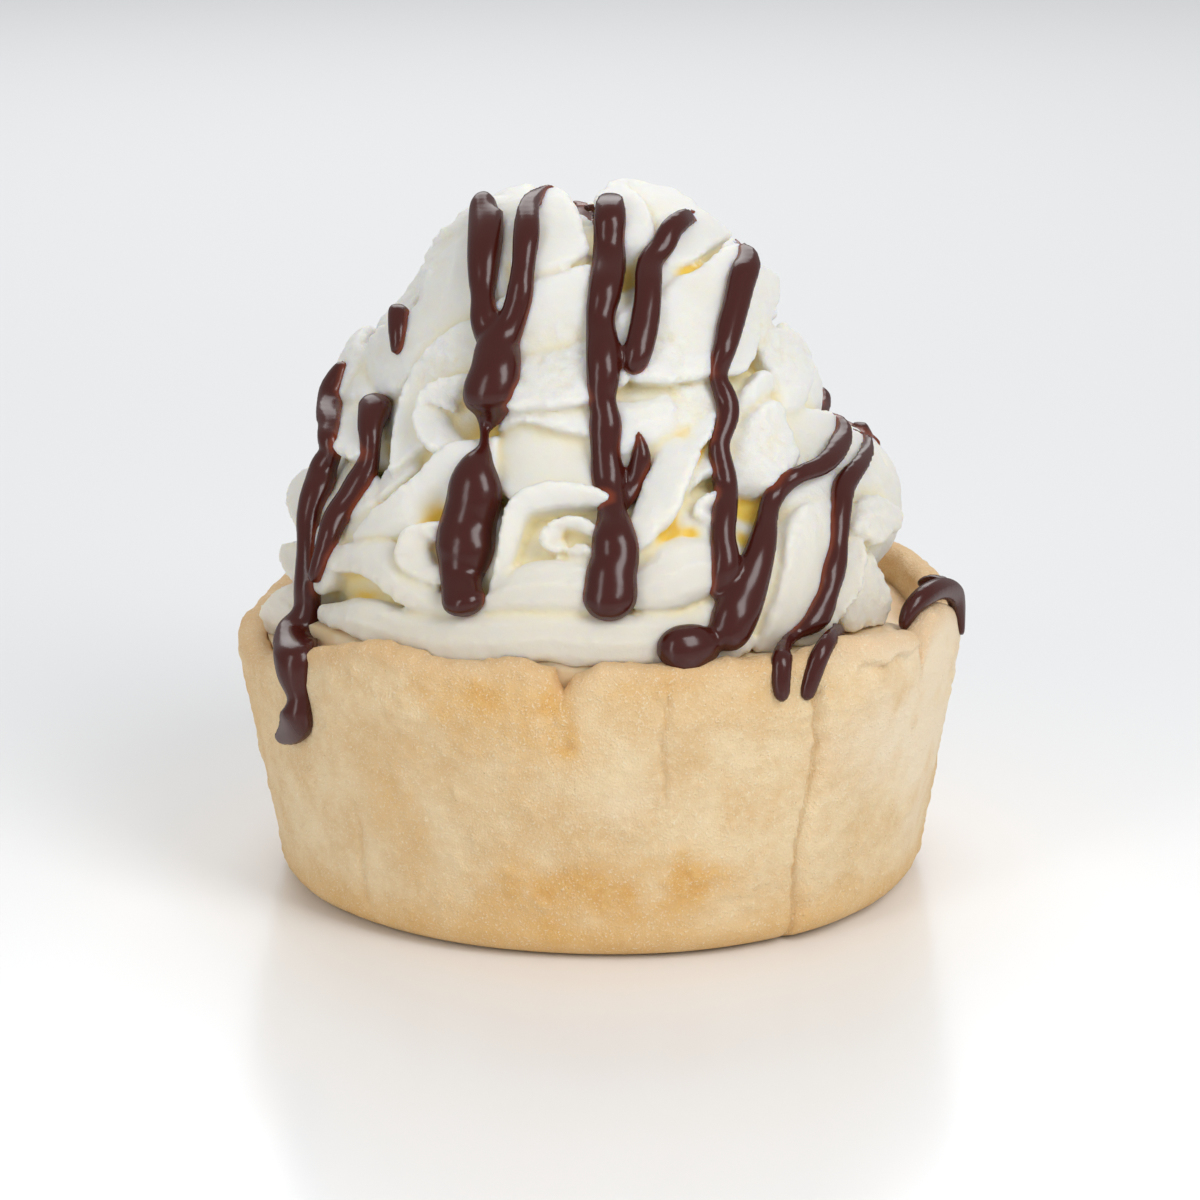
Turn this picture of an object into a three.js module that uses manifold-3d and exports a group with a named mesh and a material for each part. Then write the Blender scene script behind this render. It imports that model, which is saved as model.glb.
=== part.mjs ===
// Cream tart: a hand-pressed pastry cup, filled level with a soft filling, with a tall
// heap of piped whipped cream on it and strands of chocolate run over the heap.
//
// Millimetres, +Z up. The origin is the middle of the flat underside, the front is -Y.
// An azimuth is measured in degrees round the upright axis: 0 is the front, 90 the right.

import * as THREE from 'three';
import { mergeVertices } from 'three/addons/utils/BufferGeometryUtils.js';
import Module from 'manifold-3d';

const wasm = await Module();
wasm.setup();

// ---- driving dimensions --------------------------------------------------------------

const CUP_BASE_RADIUS = 40.2;     // outside of the wall, carried down to the table
const CUP_FLARE = 0.165;          // growth of that radius per millimetre of height
const CUP_FLARE_TOP = 31;         // above this the wall stands upright and turns in
const CUP_TURN_IN = 0.09;         // lean inwards of the last stretch below the rim
const CUP_FOOT_RADIUS = 36.5;     // flat underside
const CUP_CORNER = 4.2;           // height of the rounded corner between base and wall
const CUP_SQUARENESS = 0.012;     // the cup is very slightly four-sided
const WALL = 3.8;
const FLOOR = 4.2;
const RIM_MEAN = 34.2;            // height of the rim where it is neither raised nor cut

const HEAP_TOP = 87.4;
const GAP = 0.35;                 // clear space between pieces that lie on each other
const SHORTEST_EDGE = 0.02;

const SYRUP_FLATTEN = 0.72;       // a strand is this much lower than it is wide
const SYRUP_SAG = 0.6;
const SIGHT = 120;                // far enough out to be clear of the whole heap
const HEAP_MIDDLE = 45;           // height that the angles of the strands are read from

// ---- small helpers -------------------------------------------------------------------

const DEGREES = Math.PI / 180;
const { abs, acos, atan2, cos, max, min, sin } = Math;

const smooth = (from, to, value) => THREE.MathUtils.smoothstep(value, from, to);
const bump = (centre, reach, value) => Math.exp(-(((value - centre) / reach) ** 2));

// Straight lines between [key, value] stations.
function stations(list, key) {
  if (key <= list[0][0]) return list[0][1];
  for (let i = 1; i < list.length; i++) {
    const [here, value] = list[i];
    const [before, last] = list[i - 1];
    if (key <= here) return last + ((value - last) * (key - before)) / (here - before);
  }
  return list[list.length - 1][1];
}

function around(azimuth, radius, z) {
  return new THREE.Vector3(radius * sin(azimuth * DEGREES), -radius * cos(azimuth * DEGREES), z);
}

// Moves every vertex of a stock geometry; `move` is given the point and its index.
function reshaped(geometry, move) {
  const position = geometry.attributes.position;
  const point = new THREE.Vector3();
  for (let i = 0; i < position.count; i++) {
    move(point.fromBufferAttribute(position, i), i);
    position.setXYZ(i, point.x, point.y, point.z);
  }
  return geometry;
}

function solid(geometry) {
  geometry.deleteAttribute('normal');
  geometry.deleteAttribute('uv');
  const welded = mergeVertices(geometry, 1e-4);
  return new wasm.Manifold(new wasm.Mesh({
    numProp: 3,
    vertProperties: new Float32Array(welded.attributes.position.array),
    triVerts: new Uint32Array(welded.index.array),
  }));
}

function geometryOf(body) {
  const { vertProperties, triVerts } = body.getMesh();
  const geometry = new THREE.BufferGeometry();
  geometry.setAttribute('position', new THREE.BufferAttribute(vertProperties, 3));
  geometry.setIndex(new THREE.BufferAttribute(triVerts, 1));
  geometry.computeVertexNormals();
  return geometry;
}

// The outer skin alone: closed bubbles between the ridges are filled and loose scraps dropped.
const skinOf = (body) => body.decompose().reduce((best, part) => (
  part.volume() > best.volume() ? part : best));

// Closes the hair-thin slivers that cuts leave, by drawing the ends of very short edges together.
function withoutSlivers(body) {
  const { vertProperties, triVerts } = body.getMesh();
  const keep = Array.from({ length: vertProperties.length / 3 }, (_, i) => i);
  const root = (i) => (keep[i] === i ? i : root(keep[i]));
  const corner = (i) => new THREE.Vector3().fromArray(vertProperties, 3 * i);
  for (let t = 0; t < triVerts.length; t++) {
    const next = t % 3 === 2 ? t - 2 : t + 1;
    const [a, b] = [root(triVerts[t]), root(triVerts[next])];
    if (a !== b && corner(a).distanceTo(corner(b)) < SHORTEST_EDGE) keep[max(a, b)] = min(a, b);
  }
  const faces = [];
  for (let t = 0; t < triVerts.length; t += 3) {
    const [a, b, c] = [0, 1, 2].map((k) => root(triVerts[t + k]));
    if (a !== b && b !== c && c !== a) faces.push(a, b, c);
  }
  return new wasm.Manifold(new wasm.Mesh({
    numProp: 3,
    vertProperties,
    triVerts: new Uint32Array(faces),
  }));
}

function piece(name, body, color, roughness) {
  const mesh = new THREE.Mesh(
    geometryOf(skinOf(withoutSlivers(body))),
    new THREE.MeshStandardMaterial({ color, roughness, metalness: 0 }),
  );
  mesh.name = name;
  return mesh;
}

// ---- pastry cup ----------------------------------------------------------------------

// The rim as it was pressed by hand: [azimuth, height].
const RIM = [
  [-180, 32.5], [-140, 33.5], [-100, 31], [-85, 32], [-72, 30.8], [-60, 33], [-48, 36.1],
  [-38, 38.3], [-25, 37.4], [-12, 38.3], [-7.5, 36.9], [-6, 34.4], [-4.5, 36.4], [0, 38],
  [30, 38.1], [38, 38.4], [52, 37.2], [56, 36.6], [57.5, 34], [61, 36], [67, 37.7],
  [76, 36.2], [88, 33.6], [120, 34.8], [150, 33.2], [180, 32.5],
];
// Upright creases of the dough: azimuth, depth, half width, lowest and highest point.
const CREASES = [
  { at: 9.4, depth: 0.5, half: 1.4, from: 19, to: 36 },
  { at: -43, depth: 0.4, half: 1.8, from: 4, to: 17 },
  { at: -6, depth: 0.9, half: 2.6, from: 27, to: 40 },
  { at: 140, depth: 0.5, half: 2.4, from: 8, to: 30 },
  { at: -130, depth: 0.6, half: 2.2, from: 12, to: 34 },
];
const SEAM = { at: 33.5, lap: 0.7, groove: 0.6, half: 1.6, from: 2, to: 34 };

const rimHeight = (azimuth) => stations(RIM, azimuth);

// Slow waves that the pressing fingers leave on both faces of the wall.
function pressed(azimuth, z) {
  const a = azimuth * DEGREES;
  return 0.3 * sin(3 * a + 0.6) + 0.25 * sin(5 * a + z * 0.09) + 0.15 * sin(9 * a - z * 0.16);
}

// Creases of the outside alone.
function creased(azimuth, z) {
  let out = 0;
  for (const { at, depth, half, from, to } of CREASES) {
    const along = smooth(from - 2, from + 2, z) * (1 - smooth(to - 2, to + 2, z));
    out -= depth * along * bump(at, half, azimuth);
  }
  // The dough laps over itself here: the right side lies on the left one.
  const beyond = azimuth - SEAM.at;
  const along = smooth(SEAM.from - 2, SEAM.from + 2, z) * (1 - smooth(SEAM.to - 2, SEAM.to + 2, z));
  const lap = smooth(0, 1.5, beyond) * (1 - smooth(4, 22, beyond));
  return out + along * (SEAM.lap * lap - SEAM.groove * bump(-0.6, SEAM.half, beyond));
}

function wallRadius(azimuth, z) {
  const flared = CUP_BASE_RADIUS + CUP_FLARE * min(z, CUP_FLARE_TOP);
  const turned = flared - CUP_TURN_IN * max(0, z - CUP_FLARE_TOP);
  return turned * (1 + CUP_SQUARENESS * (1 - cos(4 * azimuth * DEGREES)));
}

// Half section of the cup, from the middle of its underside round to the middle of its floor.
// A level runs from 0 at the bottom of the wall to 1 at the rim.
const CUP_RINGS = [
  { face: 'foot', radius: 0 },
  { face: 'foot', radius: CUP_FOOT_RADIUS },
  { face: 'corner', angle: 35 },
  { face: 'corner', angle: 70 },
  ...[0.02, 0.18, 0.36, 0.54, 0.7, 0.84, 0.94].map((level) => ({ face: 'outside', level })),
  { face: 'rim', inset: 0.25, drop: 0.12 },
  { face: 'rim', inset: 0.6, drop: 0 },
  { face: 'inside', level: 0.95 },
  { face: 'inside', level: 0.6 },
  { face: 'inside', level: 0.2 },
  { face: 'floor', radius: 35 },
  { face: 'floor', radius: 0 },
];
const CUP_STEPS = 72;
const FRONT_FOCUS = 0.4;          // the steps are closer together at the front

function cupPoint(ring, azimuth, extra) {
  const rim = rimHeight(azimuth) + extra;
  const bodyAt = (z) => wallRadius(azimuth, z) + pressed(azimuth, z) + extra;
  const wallAt = (z) => bodyAt(z) + creased(azimuth, z);
  const thick = WALL + 2 * extra;
  if (ring.face === 'foot') return around(azimuth, ring.radius, 0);
  if (ring.face === 'floor') return around(azimuth, ring.radius, FLOOR + extra);
  if (ring.face === 'corner') {
    const turn = ring.angle * DEGREES;
    const reach = wallAt(CUP_CORNER) - CUP_FOOT_RADIUS;
    return around(azimuth, CUP_FOOT_RADIUS + reach * sin(turn), CUP_CORNER * (1 - cos(turn)));
  }
  if (ring.face === 'rim') {
    return around(azimuth, wallAt(rim) - thick * ring.inset, rim - WALL * ring.drop);
  }
  if (ring.face === 'inside') {
    const z = THREE.MathUtils.lerp(FLOOR, rim, ring.level);
    return around(azimuth, bodyAt(z) - thick, z);
  }
  const z = THREE.MathUtils.lerp(CUP_CORNER, rim, ring.level);
  return around(azimuth, wallAt(z), z);
}

function pastryCup(extra = 0) {
  const outline = CUP_RINGS.map((ring, i) => new THREE.Vector2(ring.radius === 0 ? 0 : 1, i));
  const cup = new THREE.LatheGeometry(outline, CUP_STEPS);
  return solid(reshaped(cup, (point, index) => {
    const ring = CUP_RINGS[index % CUP_RINGS.length];
    const turn = (2 * Math.PI * Math.floor(index / CUP_RINGS.length)) / CUP_STEPS - Math.PI;
    const azimuth = (turn - FRONT_FOCUS * sin(turn)) / DEGREES;
    const wrapped = azimuth >= 180 - 1e-6 ? -180 : azimuth;
    point.copy(cupPoint(ring, wrapped, extra));
  }));
}

// ---- filling -------------------------------------------------------------------------

const FILLING_STEPS = 36;
const FILLING_FRONT = 36.9;
const FILLING_SIDES = 31.6;
const FILLING_SHOULDER = 0.97;    // share of its radius where its upper edge is rounded off

// It stands almost level with the raised front of the rim and lower behind it.
function fillingTop(azimuth) {
  const front = smooth(-72, -58, azimuth) * (1 - smooth(62, 86, azimuth));
  return FILLING_SIDES + (FILLING_FRONT - FILLING_SIDES) * front;
}

const fillingRadius = (azimuth, z) => wallRadius(azimuth, z) + pressed(azimuth, z) - WALL - 2 * GAP;

// Height of its surface, a share of the way from the middle to the wall.
function fillingSurface(azimuth, share) {
  const middle = (FILLING_FRONT + FILLING_SIDES) / 2;
  return THREE.MathUtils.lerp(middle, fillingTop(azimuth), min(share / FILLING_SHOULDER, 1));
}

// A round body: every ring is placed by its own level, the azimuth and the number of the step.
function roundBody(rings, steps, place) {
  const outline = rings.map((ring, i) => new THREE.Vector2(ring.axis ? 0 : 1, i));
  return solid(reshaped(new THREE.LatheGeometry(outline, steps), (point, index) => {
    const step = Math.floor(index / rings.length) % steps;
    point.copy(place(rings[index % rings.length], (360 * step) / steps - 180, step));
  }));
}

function filling() {
  const rings = [
    { axis: true, level: 0 }, { share: 0.86, level: 0 }, { share: 1, level: 0.25 },
    { share: 1, level: 0.6 }, { share: 1, level: 0.95 }, { share: FILLING_SHOULDER, level: 1 },
    { share: 0.6, level: 1 }, { axis: true, level: 1 },
  ];
  return roundBody(rings, FILLING_STEPS, ({ axis, share = 0, level }, azimuth) => {
    const z = THREE.MathUtils.lerp(FLOOR + GAP, fillingSurface(azimuth, share), level);
    return axis ? new THREE.Vector3(0, 0, z) : around(azimuth, fillingRadius(azimuth, z) * share, z);
  });
}

// ---- whipped cream -------------------------------------------------------------------

// Outline of the heap, [height, radius].
const HEAP = [
  [30, 38.6], [34, 40], [40, 40], [44, 39.2], [48, 38], [52, 36], [56, 33], [60, 30], [64, 28],
  [68, 26], [72, 23.5], [76, 22], [80, 19.5], [84, 14], [86, 8.5], [HEAP_TOP, 0],
];
const heapRadius = (z) => stations(HEAP, z);
const onHeap = ([azimuth, z, lift = 0]) => around(azimuth, heapRadius(z) + lift, z);

// The cream goes round in tiers. Each tier is a ring from a star-shaped nozzle: its ridges
// climb to the right on the outside, with a groove between each two, and its foot has sunk
// into what carries it.
const TIERS = [
  { ring: 28.6, height: 44.6, thick: 10, ridges: 22, climb: 30, lean: 1.4, start: 0.2, foot: 29 },
  { ring: 20.4, height: 57.6, thick: 9.6, ridges: 16, climb: 38, lean: 0.8, start: 0.9, foot: 50 },
  { ring: 12.4, height: 71.2, thick: 10.2, ridges: 11, climb: 46, lean: -0.8, start: 0.5, foot: 63 },
];
const GROOVE = 2.6;               // depth of a groove
const RIDGE_FACETS = 3;
const TIER_ARC = [-42, -14, 14, 43, 73];           // degrees above the middle of the rope
const FOOT_REACH = 0.8;           // of the rope's radius, at its foot

function tier({ ring, height, thick, ridges, climb, lean, start, foot }) {
  const rings = [
    { axis: true, z: foot }, { rise: -90 }, ...TIER_ARC.map((rise) => ({ rise })),
    { axis: true, z: height + thick },
  ];
  return roundBody(rings, ridges * RIDGE_FACETS, (level, azimuth, step) => {
    if (level.axis) return new THREE.Vector3(0, 0, level.z);
    const rise = level.rise * DEGREES;
    const turned = azimuth + climb * (level.rise / 90);
    const swell = 0.6 * sin(2 * turned * DEGREES + start) + 0.5 * sin(5 * turned * DEGREES);
    const groove = step % RIDGE_FACETS === 0 ? GROOVE * cos(0.8 * rise) : 0;
    if (level.rise === -90) return around(turned, ring + FOOT_REACH * thick + swell - groove, foot);
    const reach = thick + swell - groove;
    const lift = lean * sin(turned * DEGREES);
    return around(turned, ring + reach * cos(rise), height + lift + reach * sin(rise));
  });
}

// A single ridge of cream lying on the heap along a route of [azimuth, height, lift].
const RIBBON_SIDES = 6;
function ribbon({ route, half, thick, steps = 6 }) {
  const curve = new THREE.CatmullRomCurve3(route.map(onHeap));
  return sweep(curve, steps, RIBBON_SIDES, () => half, () => thick);
}

// Sweeps a rounded section along a curve, wide along the heap and thick outwards from it.
function sweep(curve, steps, sides, halfAt, thickAt) {
  const bead = new THREE.SphereGeometry(1, sides, steps);
  return solid(reshaped(bead, (point) => {
    const share = acos(THREE.MathUtils.clamp(point.y, -1, 1)) / Math.PI;
    const face = atan2(point.z, point.x);
    const plump = sin(Math.PI * share) ** 0.4;
    const middle = curve.getPointAt(share);
    const along = curve.getTangentAt(share);
    const out = new THREE.Vector3(middle.x, middle.y, middle.z - HEAP_MIDDLE).normalize();
    const side = out.clone().cross(along).normalize();
    out.copy(along).cross(side);
    point.copy(middle);
    point.addScaledVector(side, halfAt(share) * plump * cos(face));
    point.addScaledVector(out, thickAt(share) * plump * sin(face));
  }));
}

const RIBBONS = {
  shoulder: { route: [[-80, 62, -2], [-76, 69, -1], [-74, 76, -1], [-84, 83, -2]], half: 6, thick: 4 },
  upperBand: { route: [[-55, 57, 0], [-57, 64, 0], [-42, 71, 0], [-20, 76, 0], [0, 79, 0]], half: 4.5, thick: 4 },
  roughBand: { route: [[-42, 65, -1], [-20, 67, 0], [8, 70, 0], [38, 73, 0]], half: 4.6, thick: 3.6 },
  ledge: { route: [[-26, 61.5, 0], [-14, 62.6, 0], [2, 62, 0]], half: 2, thick: 3 },
  upperCurl: { route: [[-36, 66.5, 1], [-49, 65, 1], [-52, 62, 1], [-44, 59, 0.5]], half: 1.8, thick: 3.2 },
  risingBand: { route: [[-53, 47, 0], [-44, 52, 0.5], [-36, 57, 0.5], [-27, 61, 0]], half: 3, thick: 3.6 },
  lowerCurl: { route: [[-31, 52, 1], [-38, 50.5, 1], [-39.5, 47.5, 1], [-36, 44.5, 0.5]], half: 1.7, thick: 3 },
  arch: { route: [[-23, 42.5, 0], [-20, 48, 1], [-16, 54.4, 1], [-8, 56, 1], [2, 55, 0]], half: 1.7, thick: 3 },
  spiral: { route: [[0, 51.6, 0.5], [-6, 53, 0.8], [-11, 51, 0.8], [-8, 48.6, 0.5], [-5, 50, 0]], half: 1.2, thick: 2.4 },
  leftBelly: { route: [[-44, 42.5, -2], [-26, 44, -2], [-8, 45.2, -2], [4, 45, -3]], half: 4.2, thick: 3.6 },
  rightBelly: { route: [[0, 44, -2.6], [12, 46.5, -2.2], [24, 49, -3]], half: 4.6, thick: 3.8 },
  litRibbon: { route: [[23, 62, -0.5], [15, 57.5, 1], [9, 52, 1], [1, 45.5, 0]], half: 2.8, thick: 3.2 },
  innerLobe: { route: [[14, 65, -1], [11, 60.5, -1.5]], half: 3.2, thick: 3 },
  smallCurl: { route: [[24, 55, 0.5], [18.5, 54, 0.8], [18, 52, 0.8], [21, 50.5, 0]], half: 1.4, thick: 2.6 },
  peak: { route: [[48, 67, 0], [43, 62, 0.5], [37, 56.5, 0]], half: 4, thick: 3.6 },
  petal: { route: [[80, 72, -1.5], [70, 66, 0.4], [60, 59, -0.6]], half: 4.4, thick: 3.6 },
  steepA: { route: [[40, 57.5, 0], [35, 51.5, 0.6], [30, 46, 0.6], [24, 39.5, 0]], half: 2.6, thick: 3.4 },
  steepB: { route: [[50, 56, 0], [43, 50, 0.6], [37, 45, 0.6], [32, 39, 0]], half: 2.4, thick: 3.4 },
  steepC: { route: [[63, 53, 0], [57, 48, 0.6], [51, 43, 0.6], [46, 38.5, 0]], half: 2.6, thick: 3.4 },
  bulge: { route: [[58, 53, -1], [68, 48.5, -0.4], [84, 43, -1]], half: 3.4, thick: 3 },
  frontBand: {
    route: [[-68, 37.6, -0.6], [-42, 38.4, 0], [-22, 38.2, 0], [0, 38.8, 0], [24, 38.6, -0.4], [44, 38, -1]],
    half: 3.4, thick: 3, steps: 10,
  },
  leftLobe: { route: [[-102, 35.5, 0], [-84, 36, 0.6], [-66, 38, 0]], half: 3, thick: 2.6 },
  crownLeft: { route: [[-80, 80, -2], [-30, 84, -1], [10, 85, -1.5]], half: 4, thick: 3.4 },
  crownRight: { route: [[20, 77, -1], [40, 80.5, -0.5], [80, 83, -2]], half: 4.2, thick: 3.4 },
  tip: { route: [[-100, 84, -5], [-20, 86, -5], [80, 84.5, -4]], half: 3.6, thick: 2.4 },
};

// ---- chocolate strands ---------------------------------------------------------------

// Each strand keeps nearly to one x while it runs over the heap: [x, angle over the heap from
// the front, half width]. 90 degrees is straight above, more than that is the back.
const STRANDS = {
  outerLeft: [[-33.5, 128, 1.3], [-32.5, 100, 1.4], [-34, 62, 1.8], [-34, 33, 1.9], [-35.8, 8, 2], [-35.7, -12, 2.1]],
  nextLeft: [[-27, 65, 1.5], [-27.9, 43, 1.7], [-28.4, 25, 1.6], [-32.1, 12, 1.7], [-34, -2, 1.5]],
  leftWedge: [[-25, 142, 1.4], [-24.7, 108, 1.3], [-24.9, 85, 1.3], [-24.9, 66, 0.8]],
  shoulderLine: [[-17, 168, 1.6], [-14.5, 130, 1.8], [-13.8, 96, 1.9], [-14, 72, 1.9], [-12.8, 51, 1.8]],
  longDrop: [[-5.5, 160, 1.6], [-6, 118, 1.5], [-7.5, 90, 1.3], [-9, 70, 1.3], [-11.4, 53, 2.3], [-13.4, 40, 2.8], [-13.8, 31, 0.8], [-15.2, 17, 3], [-16.2, 4, 2.5], [-16.1, -8, 2.8]],
  middle: [[1.4, 86, 1.8], [0.9, 66, 2], [-0.1, 53, 1.6], [0.3, 40, 1.7], [0.6, 24, 1.8], [1.2, 13, 1.3], [1.4, 3, 2.7], [0.9, -6, 2.7]],
  leaf: [[4, 32, 0.6], [5.2, 25, 1.5], [4, 17, 1.3], [1.6, 13, 1.2]],
  rightOfMiddle: [[16, 160, 1.5], [15, 120, 1.4], [12.1, 84, 1.3], [8.7, 72, 1.7], [5.5, 58, 1.7], [3.1, 42, 1]],
  rightLine: [[22, 150, 1.5], [20.5, 110, 1.4], [18.4, 80, 1.6], [16, 61, 1.6], [13.7, 46, 1.2], [14.7, 34, 1.1], [14.3, 18, 1.6], [14, 2, 1.9]],
  farRight: [[28, 128, 1.5], [29, 75, 1.6], [29.2, 44, 1.6], [23.4, 25, 1.1], [19.9, 14, 1.3], [18.4, 3, 2], [14.6, -6, 2.8]],
  edgeRight: [[35, 132, 1.5], [33.2, 88, 1.5], [32.5, 53, 1.5], [28.8, 22, 1.4], [28.2, 8, 1.3], [25.6, -7, 1.6]],
};
const STRAND_SIDES = 5;
const STRAND_STEP = 12;           // degrees over the heap between two rings of a strand

function strand(route, heap) {
  const stops = route.map((stop) => new THREE.Vector3(...stop));
  const plan = new THREE.CatmullRomCurve3(stops, false, 'chordal');
  const steps = Math.ceil(abs(stops[0].y - stops[stops.length - 1].y) / STRAND_STEP) + 3;
  const caster = new THREE.Raycaster();
  const laid = [];
  for (let i = 0; i <= steps; i++) {
    const { x, y: degrees, z: half } = plan.getPoint(i / steps);
    const angle = degrees * DEGREES;
    caster.ray.origin.set(x, -SIGHT * cos(angle), HEAP_MIDDLE + SIGHT * sin(angle));
    caster.ray.direction.set(0, cos(angle), -sin(angle));
    const [hit] = caster.intersectObject(heap, false);
    if (hit) laid.push({ x, angle, half, reach: SIGHT - hit.distance });
  }
  const curve = new THREE.CatmullRomCurve3(taut(laid).map(({ x, angle, reach }) => (
    new THREE.Vector3(x, -reach * cos(angle), HEAP_MIDDLE + reach * sin(angle)))));
  const halfAt = (share) => between(laid.map(({ half }) => half), share);
  return sweep(curve, steps + 1, STRAND_SIDES, halfAt, (share) => SYRUP_FLATTEN * halfAt(share));
}

// Syrup bridges the hollows between the ridges as far as it sags, and lies on the crests.
function taut(laid) {
  return laid.map((here, i) => {
    const span = (laid[max(i - 1, 0)].reach + laid[min(i + 1, laid.length - 1)].reach) / 2;
    const bridge = THREE.MathUtils.clamp(span - here.reach, -SYRUP_SAG, 2 * SYRUP_SAG);
    return { ...here, reach: here.reach + bridge };
  });
}

// The value a share of the way along a list.
function between(list, share) {
  const place = share * (list.length - 1);
  const low = min(Math.floor(place), list.length - 2);
  return THREE.MathUtils.lerp(list[low], list[low + 1], place - low);
}

// What has run over the rim and lies on the pastry: [azimuth, height, lift from the wall, half].
const DRIPS = {
  leftDrip: [[-55, 37.4, -1, 2.4], [-55, 33.5, 1, 2.2], [-53.5, 28, 0.9, 1.7], [-53, 24.5, 0.8, 2.2], [-60, 21.8, 0.5, 0.8]],
  rimBlob: [[9.5, 39, -0.4, 2], [12, 39.3, -0.2, 2.3], [14.5, 39, -0.4, 2]],
  shortDrip: [[31, 38.3, -1.8, 1.4], [28.8, 36, 0.3, 1.4], [27.8, 32, 0.3, 1.1]],
  longDrip: [[41, 38.8, -1.8, 1.4], [36, 37, 0.5, 1.4], [32.5, 33.5, 0.5, 1.3], [32, 31, 0.4, 1]],
  loop: [[62, 36.6, -3.5, 0.8], [64, 38, -2, 0.9], [72, 37.6, -0.6, 0.9], [79, 35, 0.7, 0.9], [80, 31, 0.7, 0.7]],
};

function drip(route, extra) {
  const curve = new THREE.CatmullRomCurve3(route.map(([azimuth, z, lift]) => (
    around(azimuth, wallRadius(azimuth, z) + pressed(azimuth, z) + lift, z))));
  const halfAt = (share) => extra + between(route.map((stop) => stop[3]), share);
  return sweep(curve, 2 * route.length + 2, STRAND_SIDES, halfAt, (share) => SYRUP_FLATTEN * halfAt(share));
}

// ---- the tart ------------------------------------------------------------------------

const join = (bodies) => bodies.reduce((whole, body) => whole.add(body));

// Everything below the filling's surface, with the clear space on top of it.
const BELOW_FILLING = 20;
function underCream() {
  const rings = [
    { axis: true, z: BELOW_FILLING }, { share: 1.2, z: BELOW_FILLING },
    { share: 1.2 }, { share: FILLING_SHOULDER }, { share: 0.6 }, { axis: true },
  ];
  return roundBody(rings, FILLING_STEPS, ({ axis, share = 0, z }, azimuth) => {
    const height = z ?? fillingSurface(azimuth, share) + GAP;
    const radius = fillingRadius(azimuth, height) * share;
    return axis ? new THREE.Vector3(0, 0, height) : around(azimuth, radius, height);
  });
}

const drips = (extra = 0) => join(Object.values(DRIPS).map((route) => drip(route, extra)));

const piled = skinOf(join([...TIERS.map(tier), ...Object.values(RIBBONS).map(ribbon)]));
const heapMesh = new THREE.Mesh(geometryOf(piled));
const dressed = join([piled, ...Object.values(STRANDS).map((route) => strand(route, heapMesh))]);
const cream = skinOf(dressed.subtract(underCream()).subtract(pastryCup(GAP)).subtract(drips(GAP)));
const cup = pastryCup().add(drips());

const group = new THREE.Group();
group.add(piece('pastry_shell', cup, 0xe1caa3, 0.8));
group.add(piece('filling', filling(), 0xd7be9f, 0.45));
group.add(piece('whipped_cream', cream, 0xf3f3ed, 0.6));

export default group;
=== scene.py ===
# %% [markdown]
# # A cream tart
# A hand-pressed pastry cup stands on a pale table. It is filled level with a soft filling, a tall
# heap of piped whipped cream lies on the filling, and strands of chocolate syrup run down the
# heap and over the rim. Everything is built in millimetres and written into the meshes in metres.

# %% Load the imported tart
import itertools
import math

import bpy
import numpy as np
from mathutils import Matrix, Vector
from mathutils.bvhtree import BVHTree


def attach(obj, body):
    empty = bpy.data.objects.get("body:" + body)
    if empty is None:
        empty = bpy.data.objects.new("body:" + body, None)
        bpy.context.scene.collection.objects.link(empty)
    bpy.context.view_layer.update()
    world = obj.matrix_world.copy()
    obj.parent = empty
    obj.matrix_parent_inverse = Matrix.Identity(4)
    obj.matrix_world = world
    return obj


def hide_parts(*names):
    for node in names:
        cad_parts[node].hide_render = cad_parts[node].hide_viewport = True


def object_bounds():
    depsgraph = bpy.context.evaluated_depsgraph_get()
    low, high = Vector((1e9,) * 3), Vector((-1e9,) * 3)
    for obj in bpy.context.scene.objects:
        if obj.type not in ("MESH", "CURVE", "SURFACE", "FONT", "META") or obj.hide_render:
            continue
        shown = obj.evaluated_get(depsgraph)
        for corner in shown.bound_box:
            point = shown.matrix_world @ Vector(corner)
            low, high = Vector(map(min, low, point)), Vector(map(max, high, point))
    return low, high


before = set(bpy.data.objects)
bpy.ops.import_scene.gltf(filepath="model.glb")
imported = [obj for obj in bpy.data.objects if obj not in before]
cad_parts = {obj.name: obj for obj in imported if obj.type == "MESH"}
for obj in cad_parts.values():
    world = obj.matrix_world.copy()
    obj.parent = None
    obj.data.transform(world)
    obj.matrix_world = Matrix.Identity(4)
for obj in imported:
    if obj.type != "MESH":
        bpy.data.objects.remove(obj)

SOLID_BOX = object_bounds()
print("solid nodes:", sorted(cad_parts))

# %% [markdown]
# ## Working habits
# An operator acts on whatever is selected, so every step first selects its own piece and nothing
# else. Small helpers do that, apply one modifier, and read or write all points at once. Two more
# give the balls that the pieces are bent from: a ball is closed, and it stays closed when bent.

# %% Select, apply and move points
MM = 0.001


def only(*pieces):
    """Leaves these selected and nothing else, with the first one active."""
    bpy.ops.object.select_all(action="DESELECT")
    for piece in pieces:
        piece.select_set(True)
    bpy.context.view_layer.objects.active = pieces[0]


def apply(piece, kind, **settings):
    """Puts one modifier on a piece, sets it and applies it."""
    only(piece)
    modifier = piece.modifiers.new(kind.title(), kind)
    for name, value in settings.items():
        setattr(modifier, name, value)
    bpy.ops.object.modifier_apply(modifier=modifier.name)


def points_of(piece):
    """All points of a mesh, in millimetres."""
    flat = np.empty(3 * len(piece.data.vertices), dtype=np.float32)
    piece.data.vertices.foreach_get("co", flat)
    return flat.reshape(-1, 3).astype(float) / MM


def normals_of(piece):
    flat = np.empty(3 * len(piece.data.vertices), dtype=np.float32)
    piece.data.vertex_normals.foreach_get("vector", flat)
    return flat.reshape(-1, 3).astype(float)


def move_points(piece, points):
    piece.data.vertices.foreach_set("co", (points * MM).astype(np.float32).ravel())
    piece.data.update()


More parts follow.
